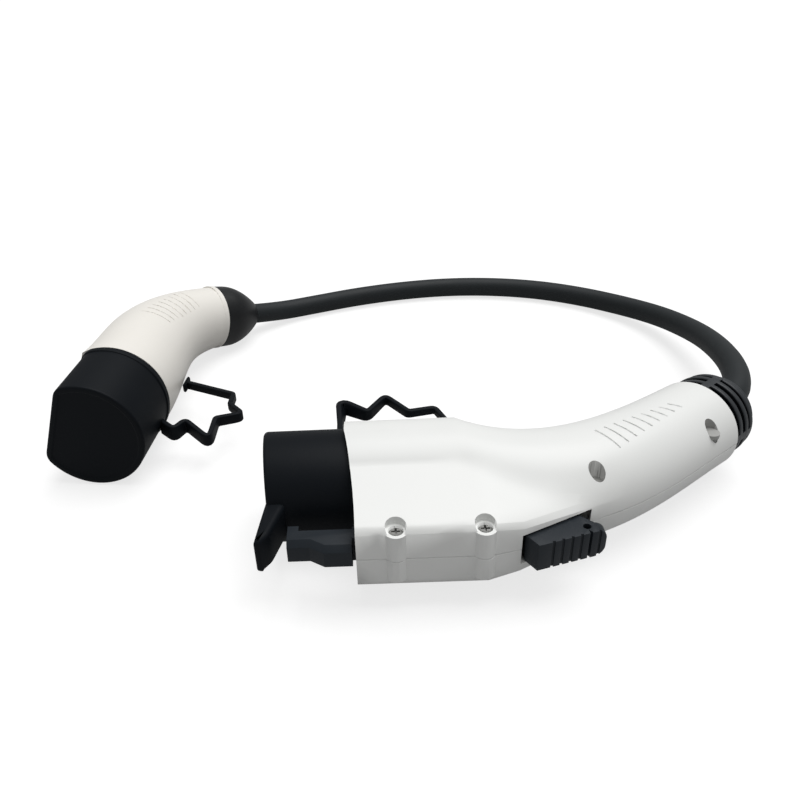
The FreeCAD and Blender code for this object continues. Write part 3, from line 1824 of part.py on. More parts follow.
def second_plug():
    """Every piece of the second plug."""
    tail = jacket("type2_cable_tail", GLAND, -z.tail_in_elbow, z.gland_length)
    powers = [(across, up, z.wire_radius) for across, up in KEYED_POWER]
    signals = [(across, up, z.signal_wire_radius) for across, up in KEYED_SIGNAL]
    bend = at(
        ELBOW, z.elbow_bend_along.value, -z.elbow_bend_across.value, 0.0,
        -z.elbow_bend_turn.value,
    )
    inner_wires = wires(
        "type2_wires",
        at(ELBOW, (KEYED_BLOCK_END + z.pin_tail).value),
        -z.tail_in_elbow,
        bend,
        GLAND,
        powers + signals,
    )
    return [
        elbow_housing(),
        keyed_nose(),
        keyed_gasket(),
        keyed_block(),
        pins("type2_power_pins", KEYED_POWER, z.pin_radius, z.pin_front),
        pins("type2_signal_pins", KEYED_SIGNAL, z.signal_pin_radius, z.signal_pin_front),
        gland_nut(),
        gland_seal(),
        clamp_claw(),
        tail,
        inner_wires,
        keyed_cap(),
        second_strap(),
    ]


# Free cable: points chosen by hand between the two plugs, heights above the surface
ROUTE = [
    (193.4, 60.0, 28.4), (204.2, 75.8, 28.4), (209.9, 94.0, 27.2), (212.4, 115.0, 24.6),
    (212.6, 138.5, 20.6), (208.8, 163.5, 16.0), (199.5, 189.5, 11.6), (183.5, 214.0, 8.3),
    (161.0, 235.0, 6.9), (133.5, 250.0, 6.8), (102.0, 259.3, 6.8), (68.0, 262.8, 6.8),
    (33.0, 259.8, 6.8), (-1.5, 252.2, 6.8), (-33.0, 241.2, 6.8), (-57.4, 229.1, 8.5),
]


def cable_route():
    """The route from the boot of the first plug to the gland of the second."""
    start = HANDLE_END.multVec(Vector(z.boot_length.value, 0, 0))
    stop = GLAND.multVec(Vector(z.gland_length.value, 0, 0))
    low = FLOOR + z.cable_radius.value + z.cable_floor_clearance.value
    middle = [Vector(a, b, max(FLOOR + up, low)) for a, b, up in ROUTE]
    return [start] + middle + [stop]


def free_cable():
    """The cable between the plugs, as it lies."""
    route = cable_route()
    cable, path, radii = tube("cable", route, z.cable_radius)
    ideal = math.pi * z.cable_radius.value ** 2 * path.Length
    print("cable: bend radii", [round(radius) for radius in radii])
    print("cable: length", round(path.Length, 1), "volume share",
          round(cable.Shape.Volume / ideal, 4))
    last = route[-2] - route[-1]
    leaving = GLAND.Rotation.multVec(Vector(1, 0, 0))
    print("cable: angle at the gland", round(math.degrees(last.getAngle(leaving)), 1))
    return cable


def check(node):
    """Stop where a piece did not build."""
    for thing in [node] + node.OutListRecursive:
        if "Invalid" in thing.State or "Error" in thing.State:
            raise RuntimeError(f"{thing.Name} did not build")
    if node.Shape.isNull() or not node.Shape.isValid():
        raise RuntimeError(f"{node.Name} is not valid")


def export(pieces, cord):
    """Write each node, with the origin at the bottom centre of the rigid pieces."""
    bounds = FreeCAD.BoundBox()
    for piece in pieces:
        bounds.add(piece.Shape.optimalBoundingBox(False))
    shift = Vector(-bounds.Center.x, -bounds.Center.y, -bounds.ZMin)
    print("shift", [round(value, 4) for value in shift], "size", bounds)
    os.makedirs("parts", exist_ok=True)
    for piece in pieces + [cord]:
        shape = piece.Shape.copy()
        shape.translate(shift)
        shape.exportStep(f"parts/{piece.Label}.step")
        print(piece.Label, round(piece.Shape.Volume), len(piece.Shape.Solids))


nodes = first_plug() + second_plug()
cable = free_cable()
doc.recompute()
for node in nodes + [cable]:
    check(node)
export(nodes, cable)
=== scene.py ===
import json
import math

import bmesh
import bpy
import numpy as np
from mathutils import Matrix, Vector
from mathutils.bvhtree import BVHTree


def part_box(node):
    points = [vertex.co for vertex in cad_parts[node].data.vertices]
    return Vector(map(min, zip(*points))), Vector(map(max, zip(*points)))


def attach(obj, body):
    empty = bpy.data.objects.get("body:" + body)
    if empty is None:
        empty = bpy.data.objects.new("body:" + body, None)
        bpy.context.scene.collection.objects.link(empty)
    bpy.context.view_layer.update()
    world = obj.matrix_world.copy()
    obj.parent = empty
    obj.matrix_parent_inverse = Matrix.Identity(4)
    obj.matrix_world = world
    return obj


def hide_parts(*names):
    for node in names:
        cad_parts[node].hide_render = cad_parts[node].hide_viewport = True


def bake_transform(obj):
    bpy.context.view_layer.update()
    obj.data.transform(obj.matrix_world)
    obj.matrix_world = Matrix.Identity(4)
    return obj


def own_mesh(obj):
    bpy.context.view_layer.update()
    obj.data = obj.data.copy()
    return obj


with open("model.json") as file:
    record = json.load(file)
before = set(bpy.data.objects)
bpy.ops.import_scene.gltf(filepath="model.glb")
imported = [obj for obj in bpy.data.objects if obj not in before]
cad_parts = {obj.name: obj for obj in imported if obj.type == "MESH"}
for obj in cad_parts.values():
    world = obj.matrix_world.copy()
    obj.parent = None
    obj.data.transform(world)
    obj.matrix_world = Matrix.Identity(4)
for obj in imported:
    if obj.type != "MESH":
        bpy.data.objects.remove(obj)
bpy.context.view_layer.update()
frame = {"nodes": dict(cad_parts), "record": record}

MM = 0.001

# Places are written in the plugs' own layout, in millimetres: X runs back from the front rim of
# the latched plug, its latch side faces -Y, and Z is the height above the surface.
RIM_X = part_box("type1_upper_shell")[0][0]
BLOCK_LOW, BLOCK_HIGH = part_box("type1_contact_block")
AXIS_Y = (BLOCK_LOW[1] + BLOCK_HIGH[1]) / 2
AXIS_UP = 28.0


def place(along, across, up):
    """A point of the layout, in metres in the row frame."""
    return Vector((RIM_X + along * MM, AXIS_Y + across * MM, up * MM))


def frame_at(along, across, up, turn=0.0, roll=0.0):
    """A frame that turns local millimetres into metres in the row frame."""
    turned = Matrix.Rotation(math.radians(turn), 4, "Z")
    rolled = Matrix.Rotation(math.radians(roll), 4, "X")
    return Matrix.Translation(place(along, across, up)) @ turned @ rolled @ Matrix.Scale(MM, 4)


# PLUG starts at the latched plug's front rim, HANDLE_END where its handle ends, ELBOW at the
# outer end of the keyed cap, and GLAND where the elbow's other leg ends
PLUG = frame_at(0.0, 0.0, AXIS_UP)
HANDLE_END = frame_at(162.6, 36.0, AXIS_UP, 38.0)
ELBOW_TURN = 84.0
ELBOW_END = (156.0, -24.0, 0.0)
ELBOW_BEND = -46.0
ELBOW = frame_at(-136.3, 42.8, 30.2, ELBOW_TURN, 20.2)
GLAND = ELBOW @ Matrix.Translation(ELBOW_END) @ Matrix.Rotation(math.radians(ELBOW_BEND), 4, "Z")

# Camera, solved from the outlines in the photograph: its place, the way its right side points,
# and how far it looks down and leans, in degrees
CAMERA_PLACE = (8.0, -272.3, 240.5)
CAMERA_SIDE = Vector((0.9993, 0.0372, 0.0))
CAMERA_DOWN = 31.69
CAMERA_ROLL = -3.49
CAMERA_LENS = 34.25
CAMERA_SHIFT = 0.0641


def add_camera():
    """The camera, standing where the photograph was taken."""
    data = bpy.data.cameras.new("camera")
    data.sensor_width = 36.0
    data.lens = CAMERA_LENS
    data.shift_x = CAMERA_SHIFT
    data.clip_start = 0.01
    data.clip_end = 20.0
    camera = bpy.data.objects.new("camera", data)
    bpy.context.scene.collection.objects.link(camera)
    side = CAMERA_SIDE.normalized()
    ahead = Vector((0.0, 0.0, 1.0)).cross(side)
    down = math.radians(CAMERA_DOWN)
    forward = ahead * math.cos(down) - Vector((0.0, 0.0, math.sin(down)))
    up = side.cross(forward)
    turn = Matrix((side, up, -forward)).transposed().to_4x4()
    roll = Matrix.Rotation(math.radians(CAMERA_ROLL), 4, "Z")
    camera.matrix_world = Matrix.Translation(place(*CAMERA_PLACE)) @ turn @ roll
    bpy.context.scene.camera = camera


# Floor and light
FLOOR_COLOUR = (0.32, 0.32, 0.32, 1.0)
FLOOR_GLOW = 0.74
SURROUND = 0.36
SUN_STRENGTH = 2.4
SUN_SOFTNESS = 50.0
SUN_FROM = (0.26, 0.20, 1.0)
FLOOR_HALF = 8.0


# Finishes
class Value:
    """One value that varies over a surface, so that sums of such values read as plain maths."""

    def __init__(self, graph, socket):
        self.graph = graph
        self.socket = socket

    def sum(self, operation, first, second):
        """Two values taken together."""
        return self.graph.node("ShaderNodeMath", {"operation": operation}, {0: first, 1: second})

    def __add__(self, other):
        return self.sum("ADD", self, other)

    def __sub__(self, other):
        return self.sum("SUBTRACT", self, other)

    def __mul__(self, other):
        return self.sum("MULTIPLY", self, other)

    def __radd__(self, other):
        return self.sum("ADD", other, self)

    def __rsub__(self, other):
        return self.sum("SUBTRACT", other, self)

    def __rmul__(self, other):
        return self.sum("MULTIPLY", other, self)


class Graph:
    """A tree of linked values."""

    def __init__(self, tree):
        self.tree = tree
        tree.nodes.clear()

    def node(self, kind, settings=None, sockets=None, out=0):
        """Add a node, set it, then give its sockets values or links, and return one output."""
        item = self.tree.nodes.new(kind)
        for key, value in (settings or {}).items():
            if key == "stops":
                for stop, (position, shade) in zip(item.color_ramp.elements, value):
                    stop.position = position
                    stop.color = (shade, shade, shade, 1.0)
            else:
                setattr(item, key, value)
        for key, value in (sockets or {}).items():
            if isinstance(value, Value):
                self.tree.links.new(value.socket, item.inputs[key])
            else:
                item.inputs[key].default_value = value
        return Value(self, item.outputs[out]) if item.outputs else None


class Paint(Graph):
    """One material."""

    def __init__(self, name):
        self.material = bpy.data.materials.new(name)
        self.material.use_nodes = True
        super().__init__(self.material.node_tree)

    def noise(self, scale, detail=3.0, stretch=(1.0, 1.0, 1.0)):
        """Noise on the object's own coordinates, from 0 to 1."""
        spot = self.node("ShaderNodeTexCoord", out="Object")
        spot = self.node("ShaderNodeMapping", sockets={"Vector": spot, "Scale": stretch})
        sockets = {"Vector": spot, "Scale": scale, "Detail": detail}
        return self.node("ShaderNodeTexNoise", sockets=sockets)

    def contrast(self, value, low, high):
        """A value spread so that low becomes 0 and high becomes 1."""
        return self.node("ShaderNodeValToRGB", {"stops": ((low, 0.0), (high, 1.0))}, {"Fac": value})

    def mixed(self, share, low, high):
        """One colour going over to another."""
        first = low if isinstance(low, Value) else (*low, 1.0)
        sockets = {0: share, 6: first, 7: (*high, 1.0)}
        return self.node("ShaderNodeMix", {"data_type": "RGBA"}, sockets, out=2)

    def surface(self, **sockets):
        """Finish the material with one shader."""
        named = {key.replace("_", " ").title(): value for key, value in sockets.items()}
        if "Specular Ior Level" in named:
            named["Specular IOR Level"] = named.pop("Specular Ior Level")
        shader = self.node("ShaderNodeBsdfPrincipled", sockets=named)
        self.node("ShaderNodeOutputMaterial", sockets={"Surface": shader})
        return self.material

    def bump(self, height, depth):
        """A relief of a given depth in millimetres."""
        return self.node("ShaderNodeBump", sockets={"Height": height, "Distance": depth * MM})


def moulded(name, colour, tint, rough, grain, depth, scuffs, level):
    """Moulded plastic or rubber: an eroded grain, faint mottling and a few dull marks."""
    paint = Paint(name)
    mottle = paint.noise(28.0, 4.0)
    fine = paint.noise(grain, 2.0)
    marks = paint.contrast(paint.noise(190.0, 6.0, (1.0, 0.35, 1.0)), 0.62, 0.74)
    shade = paint.mixed(mottle, colour, tint)
    if scuffs:
        lighter = tuple(channel + scuffs for channel in colour)
        shade = paint.mixed(marks * 0.5, shade, lighter)
    return paint.surface(
        base_color=shade,
        roughness=rough + 0.10 * (mottle - 0.5) + 0.05 * marks,
        specular_ior_level=level,
        normal=paint.bump(fine, depth),
    )


def cable_finish():
    """Satin jacket with faint lengthwise drag marks and dust."""
    paint = Paint("cable_jacket")
    drag = paint.noise(320.0, 4.0, (0.25, 0.25, 1.0))
    cloud = paint.noise(45.0, 3.0)
    fine = paint.noise(1600.0, 2.0)
    shade = paint.mixed(cloud * 0.6 + drag * 0.4, (0.012, 0.015, 0.017), (0.022, 0.026, 0.028))
    return paint.surface(
        base_color=shade,
        roughness=0.50 + 0.12 * cloud,
        specular_ior_level=0.22,
        normal=paint.bump(fine * 0.6 + drag * 0.4, 0.03),
    )


def metal(name, colour, rough):
    """Plated metal with fine turning marks and a dulled bloom."""
    paint = Paint(name)
    lines = paint.noise(420.0, 5.0, (6.0, 1.0, 1.0))
    bloom = paint.noise(160.0, 3.0)
    dull = tuple(channel * 0.82 for channel in colour)
    return paint.surface(
        base_color=paint.mixed(bloom, dull, colour),
        metallic=1.0,
        roughness=rough + 0.14 * (lines - 0.5) + 0.08 * bloom,
        normal=paint.bump(lines, 0.01),
    )


def board_finish():
    """Coated circuit board with a faint weave."""
    paint = Paint("board")
    lengthwise = paint.noise(900.0, 1.0, (1.0, 0.2, 1.0))
    crosswise = paint.noise(900.0, 1.0, (0.2, 1.0, 1.0))
    weave = lengthwise * 0.5 + crosswise * 0.5
    return paint.surface(
        base_color=paint.mixed(weave, (0.012, 0.10, 0.035), (0.03, 0.17, 0.06)),
        roughness=0.35 + 0.15 * weave,
        normal=paint.bump(weave, 0.03),
    )


def floor_finish():
    """Pale floor that reads as the white background but keeps the shadows."""
    paint = Paint("floor")
    seen = paint.node("ShaderNodeLightPath", out="Is Camera Ray")
    glossy = paint.node("ShaderNodeLightPath", out="Is Glossy Ray")
    through = paint.node("ShaderNodeLightPath", out="Is Transmission Ray")
    plain = paint.node("ShaderNodeBsdfDiffuse", sockets={"Color": FLOOR_COLOUR})
    level = (seen + glossy * 0.3 + through) * FLOOR_GLOW
    glow = paint.node("ShaderNodeEmission", sockets={"Strength": level})
    both = paint.node("ShaderNodeAddShader", sockets={0: plain, 1: glow})
    paint.node("ShaderNodeOutputMaterial", sockets={"Surface": both})
    return paint.material


# Of each moulded finish: two colours that mottle it, roughness, fineness and depth of the grain,
# how much lighter its scuffs are, and its sheen
MOULDED = {
    "white_abs": ((0.79, 0.80, 0.785), (0.825, 0.83, 0.815), 0.36, 1400.0, 0.012, 0.0, 0.35),
    "cream_abs": ((0.81, 0.785, 0.735), (0.845, 0.82, 0.77), 0.38, 1400.0, 0.014, 0.0, 0.35),
    # A grey of painted shade, for the screw holes of the handle and their plugs
    "screw_hole_shade": ((0.33, 0.33, 0.32), (0.37, 0.37, 0.355), 0.5, 1500.0, 0.02, 0.0, 0.5),
    "black_plastic": ((0.012, 0.013, 0.014), (0.017, 0.018, 0.019), 0.46, 1500.0, 0.02, 0.008, 0.25),
    "slate_plastic": ((0.014, 0.018, 0.023), (0.019, 0.024, 0.030), 0.44, 1200.0, 0.03, 0.01, 0.18),
    "cap_rubber": ((0.0040, 0.0055, 0.0075), (0.0062, 0.0080, 0.0105), 0.52, 1300.0, 0.03, 0.003, 0.09),
    "boot_rubber": ((0.022, 0.026, 0.030), (0.030, 0.034, 0.039), 0.42, 1300.0, 0.03, 0.006, 0.3),
    "gland_plastic": ((0.007, 0.008, 0.009), (0.010, 0.011, 0.012), 0.40, 1300.0, 0.03, 0.004, 0.25),
    "seal_rubber": ((0.012, 0.012, 0.012), (0.018, 0.018, 0.018), 0.62, 1500.0, 0.02, 0.0, 0.25),
    "wire_insulation": ((0.33, 0.17, 0.06), (0.38, 0.21, 0.09), 0.42, 900.0, 0.02, 0.0, 0.5),
}
FINISH = {name: moulded(name, *traits) for name, traits in MOULDED.items()}
FINISH["cable_jacket"] = cable_finish()
FINISH["copper_alloy"] = metal("copper_alloy", (0.80, 0.72, 0.56), 0.28)
FINISH["steel"] = metal("steel", (0.34, 0.34, 0.33), 0.36)
FINISH["board"] = board_finish()

# The screw plugs take a grey that is painted shade of their holes, not their material's colour
PAINTED_SHADE_FINISH = {"screw_plugs": "screw_hole_shade"}


def paint_frame():
    """Give every solid that stays as it is the finish of its material, but the screw plugs a grey of
    painted shade.
    """
    for part in frame["record"]["subparts"]:
        node = frame["nodes"][part["node"]]
        node.data.materials.clear()
        node.data.materials.append(FINISH[PAINTED_SHADE_FINISH.get(part["node"], part["material_slot"])])


# Shapes
def eased(points, radii, steps=4):
    """A closed flat outline with its corners rounded."""
    done = []
    count = len(points)
    for number, (point, radius) in enumerate(zip(points, radii)):
        corner = Vector(point)
        back = Vector(points[number - 1]) - corner
        on = Vector(points[(number + 1) % count]) - corner
        half = back.angle(on) / 2
        if radius == 0.0 or half > math.radians(89.0):
            done.append(corner)
            continue
        reach = min(radius / math.tan(half), back.length * 0.48, on.length * 0.48)
        start = corner + back.normalized() * reach
        stop = corner + on.normalized() * reach
        for step in range(steps + 1):
            share = step / steps
            bend = corner * 2 * share * (1 - share)
            done.append(start * (1 - share) ** 2 + bend + stop * share**2)
    return done


def lathe(shape, where, profile, sweep=360.0, start=0.0, steps=96):
    """Turn a closed (along, radius) profile about the X axis of a frame."""
    full = sweep == 360.0
    rings = []
    for step in range(steps if full else steps + 1):
        angle = math.radians(start + sweep * step / steps)
        ring = []
        for along, radius in profile:
            spot = Vector((along, radius * math.cos(angle), radius * math.sin(angle)))
            ring.append(shape.verts.new(where @ spot))
        rings.append(ring)
    bridge(shape, rings, closed=full)
    if not full:
        shape.faces.new(rings[0])
        shape.faces.new(rings[-1])


def bridge(shape, rings, closed=False):
    """Join rings of vertices with four-sided faces."""
    following = rings[1:] + rings[:1] if closed else rings[1:]
    for ring, after in zip(rings, following):
        for number in range(len(ring)):
            other = (number + 1) % len(ring)
            shape.faces.new((ring[number], ring[other], after[other], after[number]))


def inset(points, distance):
    """A flat closed outline moved inwards along its corners' bisectors."""
    moved = []
    count = len(points)
    area = sum(a[0] * b[1] - b[0] * a[1] for a, b in zip(points, points[1:] + points[:1]))
    side = 1.0 if area > 0 else -1.0
    for number, point in enumerate(points):
        before = (point - points[number - 1]).normalized()
        after = (points[(number + 1) % count] - point).normalized()
        along = (before + after).normalized()
        inwards = Vector((-along[1], along[0])) * side
        moved.append(point + inwards * distance / max(0.5, along.dot(after)))
    return moved


def slab(shape, where, points, half, ease, steps=3):
    """A flat outline in plan, raised above and below the axis, with its edges rounded."""
    rings = []
    levels = []
    for step in range(steps + 1):
        angle = math.pi / 2 * step / steps
        levels.append((-half + ease * (1 - math.sin(angle)), ease * (1 - math.cos(angle))))
    levels.reverse()
    levels += [(-height, deep) for height, deep in reversed(levels)]
    levels.sort()
    for height, deep in levels:
        outline = inset(points, deep)
        rings.append([shape.verts.new(where @ Vector((a, b, height))) for a, b in outline])
    bridge(shape, rings)
    shape.faces.new(rings[0])
    shape.faces.new(rings[-1])


def piece(name, shape, finish, body, nodes, sharp=32.0):
    """Make a finished object of a shape, riding on a body and standing for its solids."""
    bmesh.ops.remove_doubles(shape, verts=shape.verts, dist=1e-7)
    bmesh.ops.recalc_face_normals(shape, faces=shape.faces)
    mesh = bpy.data.meshes.new(name)
    shape.to_mesh(mesh)
    shape.free()
    return placed(name, mesh, finish, body, nodes, sharp)


def placed(name, mesh, finish, body, nodes, sharp=32.0):
    """Give a mesh its finish, its body and the solids that it stands for."""
    mesh.materials.clear()
    mesh.materials.append(FINISH[finish])
    mesh.shade_smooth()
    if sharp:
        mesh.set_sharp_from_angle(angle=math.radians(sharp))
    item = bpy.data.objects.new(name, mesh)
    bpy.context.scene.collection.objects.link(item)
    if body:
        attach(item, body)
    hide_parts(*nodes)
    return item


def merged_copy(node):
    """The mesh of a solid with its loose triangles joined."""
    shape = bmesh.new()
    shape.from_mesh(frame["nodes"][node].data)
    bmesh.ops.remove_doubles(shape, verts=shape.verts, dist=2e-6)
    return shape


# Shells of the latched plug: cut into a fine grid, raked at the front, grooved where they meet,
# and shaded with normals averaged over the width of the moulding's blends
GRID_ALONG = 3.2
GRID_ACROSS = 2.6
SPAN_ALONG = (1.5, 176.0)
SPAN_ACROSS = (-49.0, 60.0)
PARTING_GROOVE = 0.4
RAKE_NEAR = -49.0
RAKE_FAR = 2.0
RAKE_LEAST = 1.2
RAKE_MORE = 4.0
RAKE_LENGTH = 12.0
# The line inside the plug that its outside looks away from: along, across and reach to the latch
SHELL_CORE = [
    (0.0, 0.0, 30.0), (60.0, 0.0, 30.0), (84.0, -6.0, 20.0),
    (124.0, 10.0, 0.0), (162.6, 36.0, 0.0), (182.0, 52.0, 0.0),
]
# A face is outside when it looks away from that line and nothing in sight stands before it
AWAY_LEAST = 0.25
SKIN_GAP = 0.02
SIGHT = 0.2
# Width of the blends in millimetres, and the angle between faces that they soften, at stations
# along the plug. They are worked out in strips, once for each way that a corner's faces look.
BLEND_WIDTH = [
    (0.0, 2.8), (30.0, 3.0), (55.0, 8.0), (80.0, 14.0), (110.0, 14.0), (135.0, 3.6), (182.0, 3.6),
]
BLEND_ANGLE = [
    (0.0, 42.0), (70.0, 42.0), (92.0, 72.0), (118.0, 72.0), (135.0, 42.0), (182.0, 42.0),
]
BLEND_STRIP = 2.5
FACING_STEPS = 20
# The front rim and the parting groove of the shells keep their own shading
RIM_TILT = -0.3
RIM_DEEP = 2.0
SHELLS_FROM = -10.0
# Screw holes of the handle, whose walls take a grey of painted shade
HANDLE_HOLES = [(99.0, -20.5), (159.5, 12.0)]
HOLE_RADIUS = 3.7
HOLE_FACING = -0.5


def stepped(low, high, step):
    """Evenly spaced values that start at low and stay under high."""
    return [low + step * number for number in range(int((high - low) / step))]


def sliced(shape, normal, places):
    """Cut all faces of a shape along parallel planes."""
    for spot in places:
        everything = shape.verts[:] + shape.edges[:] + shape.faces[:]
        bmesh.ops.bisect_plane(shape, geom=everything, plane_co=spot, plane_no=normal, dist=1e-6)


def faces_outward(spot, facing):
    """Whether a face looks away from the line that runs inside the plug."""
    along = (spot[0] - RIM_X) / MM
    stations, middles, reaches = zip(*SHELL_CORE)
    middle = AXIS_Y + np.interp(along, stations, middles) * MM
    low = middle - np.interp(along, stations, reaches) * MM
    core = min(max(spot[1], low), middle)
    away = Vector((0.0, spot[1] - core, spot[2] - AXIS_UP * MM)).normalized()
    return away.dot(facing) > AWAY_LEAST


def outer_skin(shape, judge=None):
    """The faces of a shape that nothing covers, out of those that a judge lets through."""
    tree = BVHTree.FromBMesh(shape)
    found = []
    for face in shape.faces:
        middle = face.calc_center_median()
        if judge is None or judge(middle, face.normal):
            start = middle + face.normal * SKIN_GAP * MM
            if tree.ray_cast(start, face.normal, SIGHT)[0] is None:
                found.append(face)
    return found


def rake(spot):
    """How far the front rim stands forward at a point, in metres."""
    across = (spot[1] - AXIS_Y) / MM
    along = (spot[0] - RIM_X) / MM
    share = (min(across, RAKE_FAR) - RAKE_NEAR) / (RAKE_FAR - RAKE_NEAR)
    fade = max(0.0, 1.0 - max(0.0, along) / RAKE_LENGTH)
    return (RAKE_LEAST + RAKE_MORE * max(0.0, share) ** 2) * fade * MM


def in_screw_hole(face):
    """Whether a face is part of the wall of a screw hole of the handle."""
    for along, across in HANDLE_HOLES:
        offset = face.center - place(along, across, 0.0)
        offset.z = 0.0
        facing = offset.normalized().dot(face.normal)
        if offset.length < HOLE_RADIUS * MM and facing < HOLE_FACING:
            return True
    return False


def shell_skin(name, node):
    """One shell with its rim raked and its parting edge grooved, and a mark on each outer face."""
    shape = merged_copy(node)
    sliced(shape, (1, 0, 0), [place(step, 0, 0) for step in stepped(*SPAN_ALONG, GRID_ALONG)])
    sliced(shape, (0, 1, 0), [place(0, step, 0) for step in stepped(*SPAN_ACROSS, GRID_ACROSS)])
    edge = PARTING_GROOVE if node == "type1_upper_shell" else -PARTING_GROOVE
    sliced(shape, (0, 0, 1), [place(0, 0, AXIS_UP + edge)])
    bmesh.ops.triangulate(shape, faces=shape.faces)
    shape.normal_update()
    skin = outer_skin(shape, faces_outward)
    outer = {face.index for face in skin}
    sinking = {}
    raked = set()
    for face in skin:
        for vertex in face.verts:
            if abs(vertex.co.z - AXIS_UP * MM) < 1e-6:
                sinking.setdefault(vertex, Vector())
                sinking[vertex] -= face.normal
            if vertex.co.x < RIM_X + RAKE_LENGTH * MM:
                raked.add(vertex)
    for vertex, way in sinking.items():
        vertex.co += way.normalized() * PARTING_GROOVE * MM
    for vertex in raked:
        vertex.co.x -= rake(vertex.co)
    mesh = bpy.data.meshes.new(name)
    shape.to_mesh(mesh)
    shape.free()
    placed(name, mesh, "white_abs", "root", [node], sharp=30.0)
    # The walls of the screw holes take a grey: painted shade in the holes
    mesh.materials.append(FINISH["screw_hole_shade"])
    for face in mesh.polygons:
        if in_screw_hole(face):
            face.material_index = 1
    return mesh, outer


def read_faces(mesh, outer):
    """Centres, normals and areas of a mesh's faces, and which of them shade together."""
    count = len(mesh.polygons)
    centres = np.empty(count * 3)
    normals = np.empty(count * 3)
    areas = np.empty(count)
    mesh.polygons.foreach_get("center", centres)
    mesh.polygons.foreach_get("normal", normals)
    mesh.polygons.foreach_get("area", areas)
    centres = centres.reshape(-1, 3)
    normals = normals.reshape(-1, 3)
    shared = np.zeros(count, dtype=bool)
    shared[list(outer)] = True
    along = (centres[:, 0] - RIM_X) / MM
    elsewhere = along < SHELLS_FROM
    shared &= elsewhere | (np.abs(centres[:, 2] - AXIS_UP * MM) > PARTING_GROOVE * MM)
    shared &= elsewhere | (along > RIM_DEEP) | (normals[:, 0] > RIM_TILT)
    return centres, normals, areas, shared


def averaged(spots, facings, centres, normals, areas, reach, angle):
    """Area-weighted mean of the normals that lie near each spot and face about the same way."""
    gap = ((spots[:, None] - centres[None]) ** 2).sum(-1) / (reach**2)[:, None]
    like = facings @ normals.T > np.cos(np.radians(angle))[:, None]
    weight = np.where((gap < 1.0) & like, areas[None] * (1.0 - gap) ** 2, 0.0)
    total = weight @ normals
    length = np.linalg.norm(total, axis=1)
    total[length < 1e-12] = facings[length < 1e-12]
    return total / np.linalg.norm(total, axis=1)[:, None]


def blend_shading(skins, widths, angles):
    """Give the outer faces of some meshes one soft shading."""
    tables = [read_faces(*skin) for skin in skins]
    centres = np.concatenate([table[0][table[3]] for table in tables])
    normals = np.concatenate([table[1][table[3]] for table in tables])
    areas = np.concatenate([table[2][table[3]] for table in tables])
    order = np.argsort(centres[:, 0])
    centres, normals, areas = centres[order], normals[order], areas[order]
    for (mesh, _), (_, facings, _, shared) in zip(skins, tables):
        places = np.empty(len(mesh.vertices) * 3)
        mesh.vertices.foreach_get("co", places)
        places = places.reshape(-1, 3)
        corner_vertex = np.empty(len(mesh.loops), dtype=int)
        mesh.loops.foreach_get("vertex_index", corner_vertex)
        corner_face = np.repeat(np.arange(len(mesh.polygons)), 3)
        picked = np.nonzero(shared[corner_face])[0]
        rounded = np.round(facings[corner_face[picked]] * FACING_STEPS).astype(int)
        key = np.column_stack([corner_vertex[picked], rounded])
        _, first, back = np.unique(key, axis=0, return_index=True, return_inverse=True)
        spots = places[corner_vertex[picked[first]]]
        looks = facings[corner_face[picked[first]]]
        along = (spots[:, 0] - RIM_X) / MM
        reach = np.interp(along, *zip(*widths)) * MM
        angle = np.interp(along, *zip(*angles))
        strips = np.floor(spots[:, 0] / (BLEND_STRIP * MM)).astype(int)
        result = np.empty_like(spots)
        for number in np.unique(strips):
            mine = strips == number
            widest = reach[mine].max()
            low, high = spots[mine, 0].min() - widest, spots[mine, 0].max() + widest
            start, stop = np.searchsorted(centres[:, 0], (low, high))
            near = slice(start, stop)
            result[mine] = averaged(
                spots[mine], looks[mine], centres[near], normals[near], areas[near],
                reach[mine], angle[mine],
            )
        shading = np.array([corner.vector for corner in mesh.corner_normals])
        shading[picked] = result[back.ravel()]
        mesh.normals_split_custom_set(shading)


def add_shells():
    """Both shells, shaded as one surface."""
    upper = shell_skin("upper_shell_skin", "type1_upper_shell")
    lower = shell_skin("lower_shell_skin", "type1_lower_shell")
    blend_shading([upper, lower], BLEND_WIDTH, BLEND_ANGLE)


# Elbow of the keyed plug
ELBOW_GRID = 4.0
ELBOW_GRID_FROM = 1.3
ELBOW_WIDTH = [(0.0, 4.2), (1.0, 4.2)]
ELBOW_ANGLE = [(0.0, 26.0), (1.0, 26.0)]


def add_elbow():
    """The elbow, joined, cut into a fine grid and shaded soft between its edges."""
    shape = merged_copy("type2_housing")
    low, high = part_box("type2_housing")
    for side in range(3):
        normal = Vector([1 if axis == side else 0 for axis in range(3)])
        steps = stepped(ELBOW_GRID_FROM, (high[side] - low[side]) / MM, ELBOW_GRID)
        sliced(shape, normal, [normal * (low[side] + step * MM) for step in steps])
    bmesh.ops.triangulate(shape, faces=shape.faces)
    shape.normal_update()
    outer = {face.index for face in outer_skin(shape)}
    mesh = bpy.data.meshes.new("elbow_skin")
    shape.to_mesh(mesh)
    shape.free()
    placed("elbow_skin", mesh, "cream_abs", "root", ["type2_housing"], sharp=28.0)
    blend_shading([(mesh, outer)], ELBOW_WIDTH, ELBOW_ANGLE)


# Lever and its spring
LEVER_EDGE = 0.55
PADLOCK_PLACE = (90.8, -41.6)
PADLOCK_REACH = 3.4
PADLOCK_SHARE = 0.62


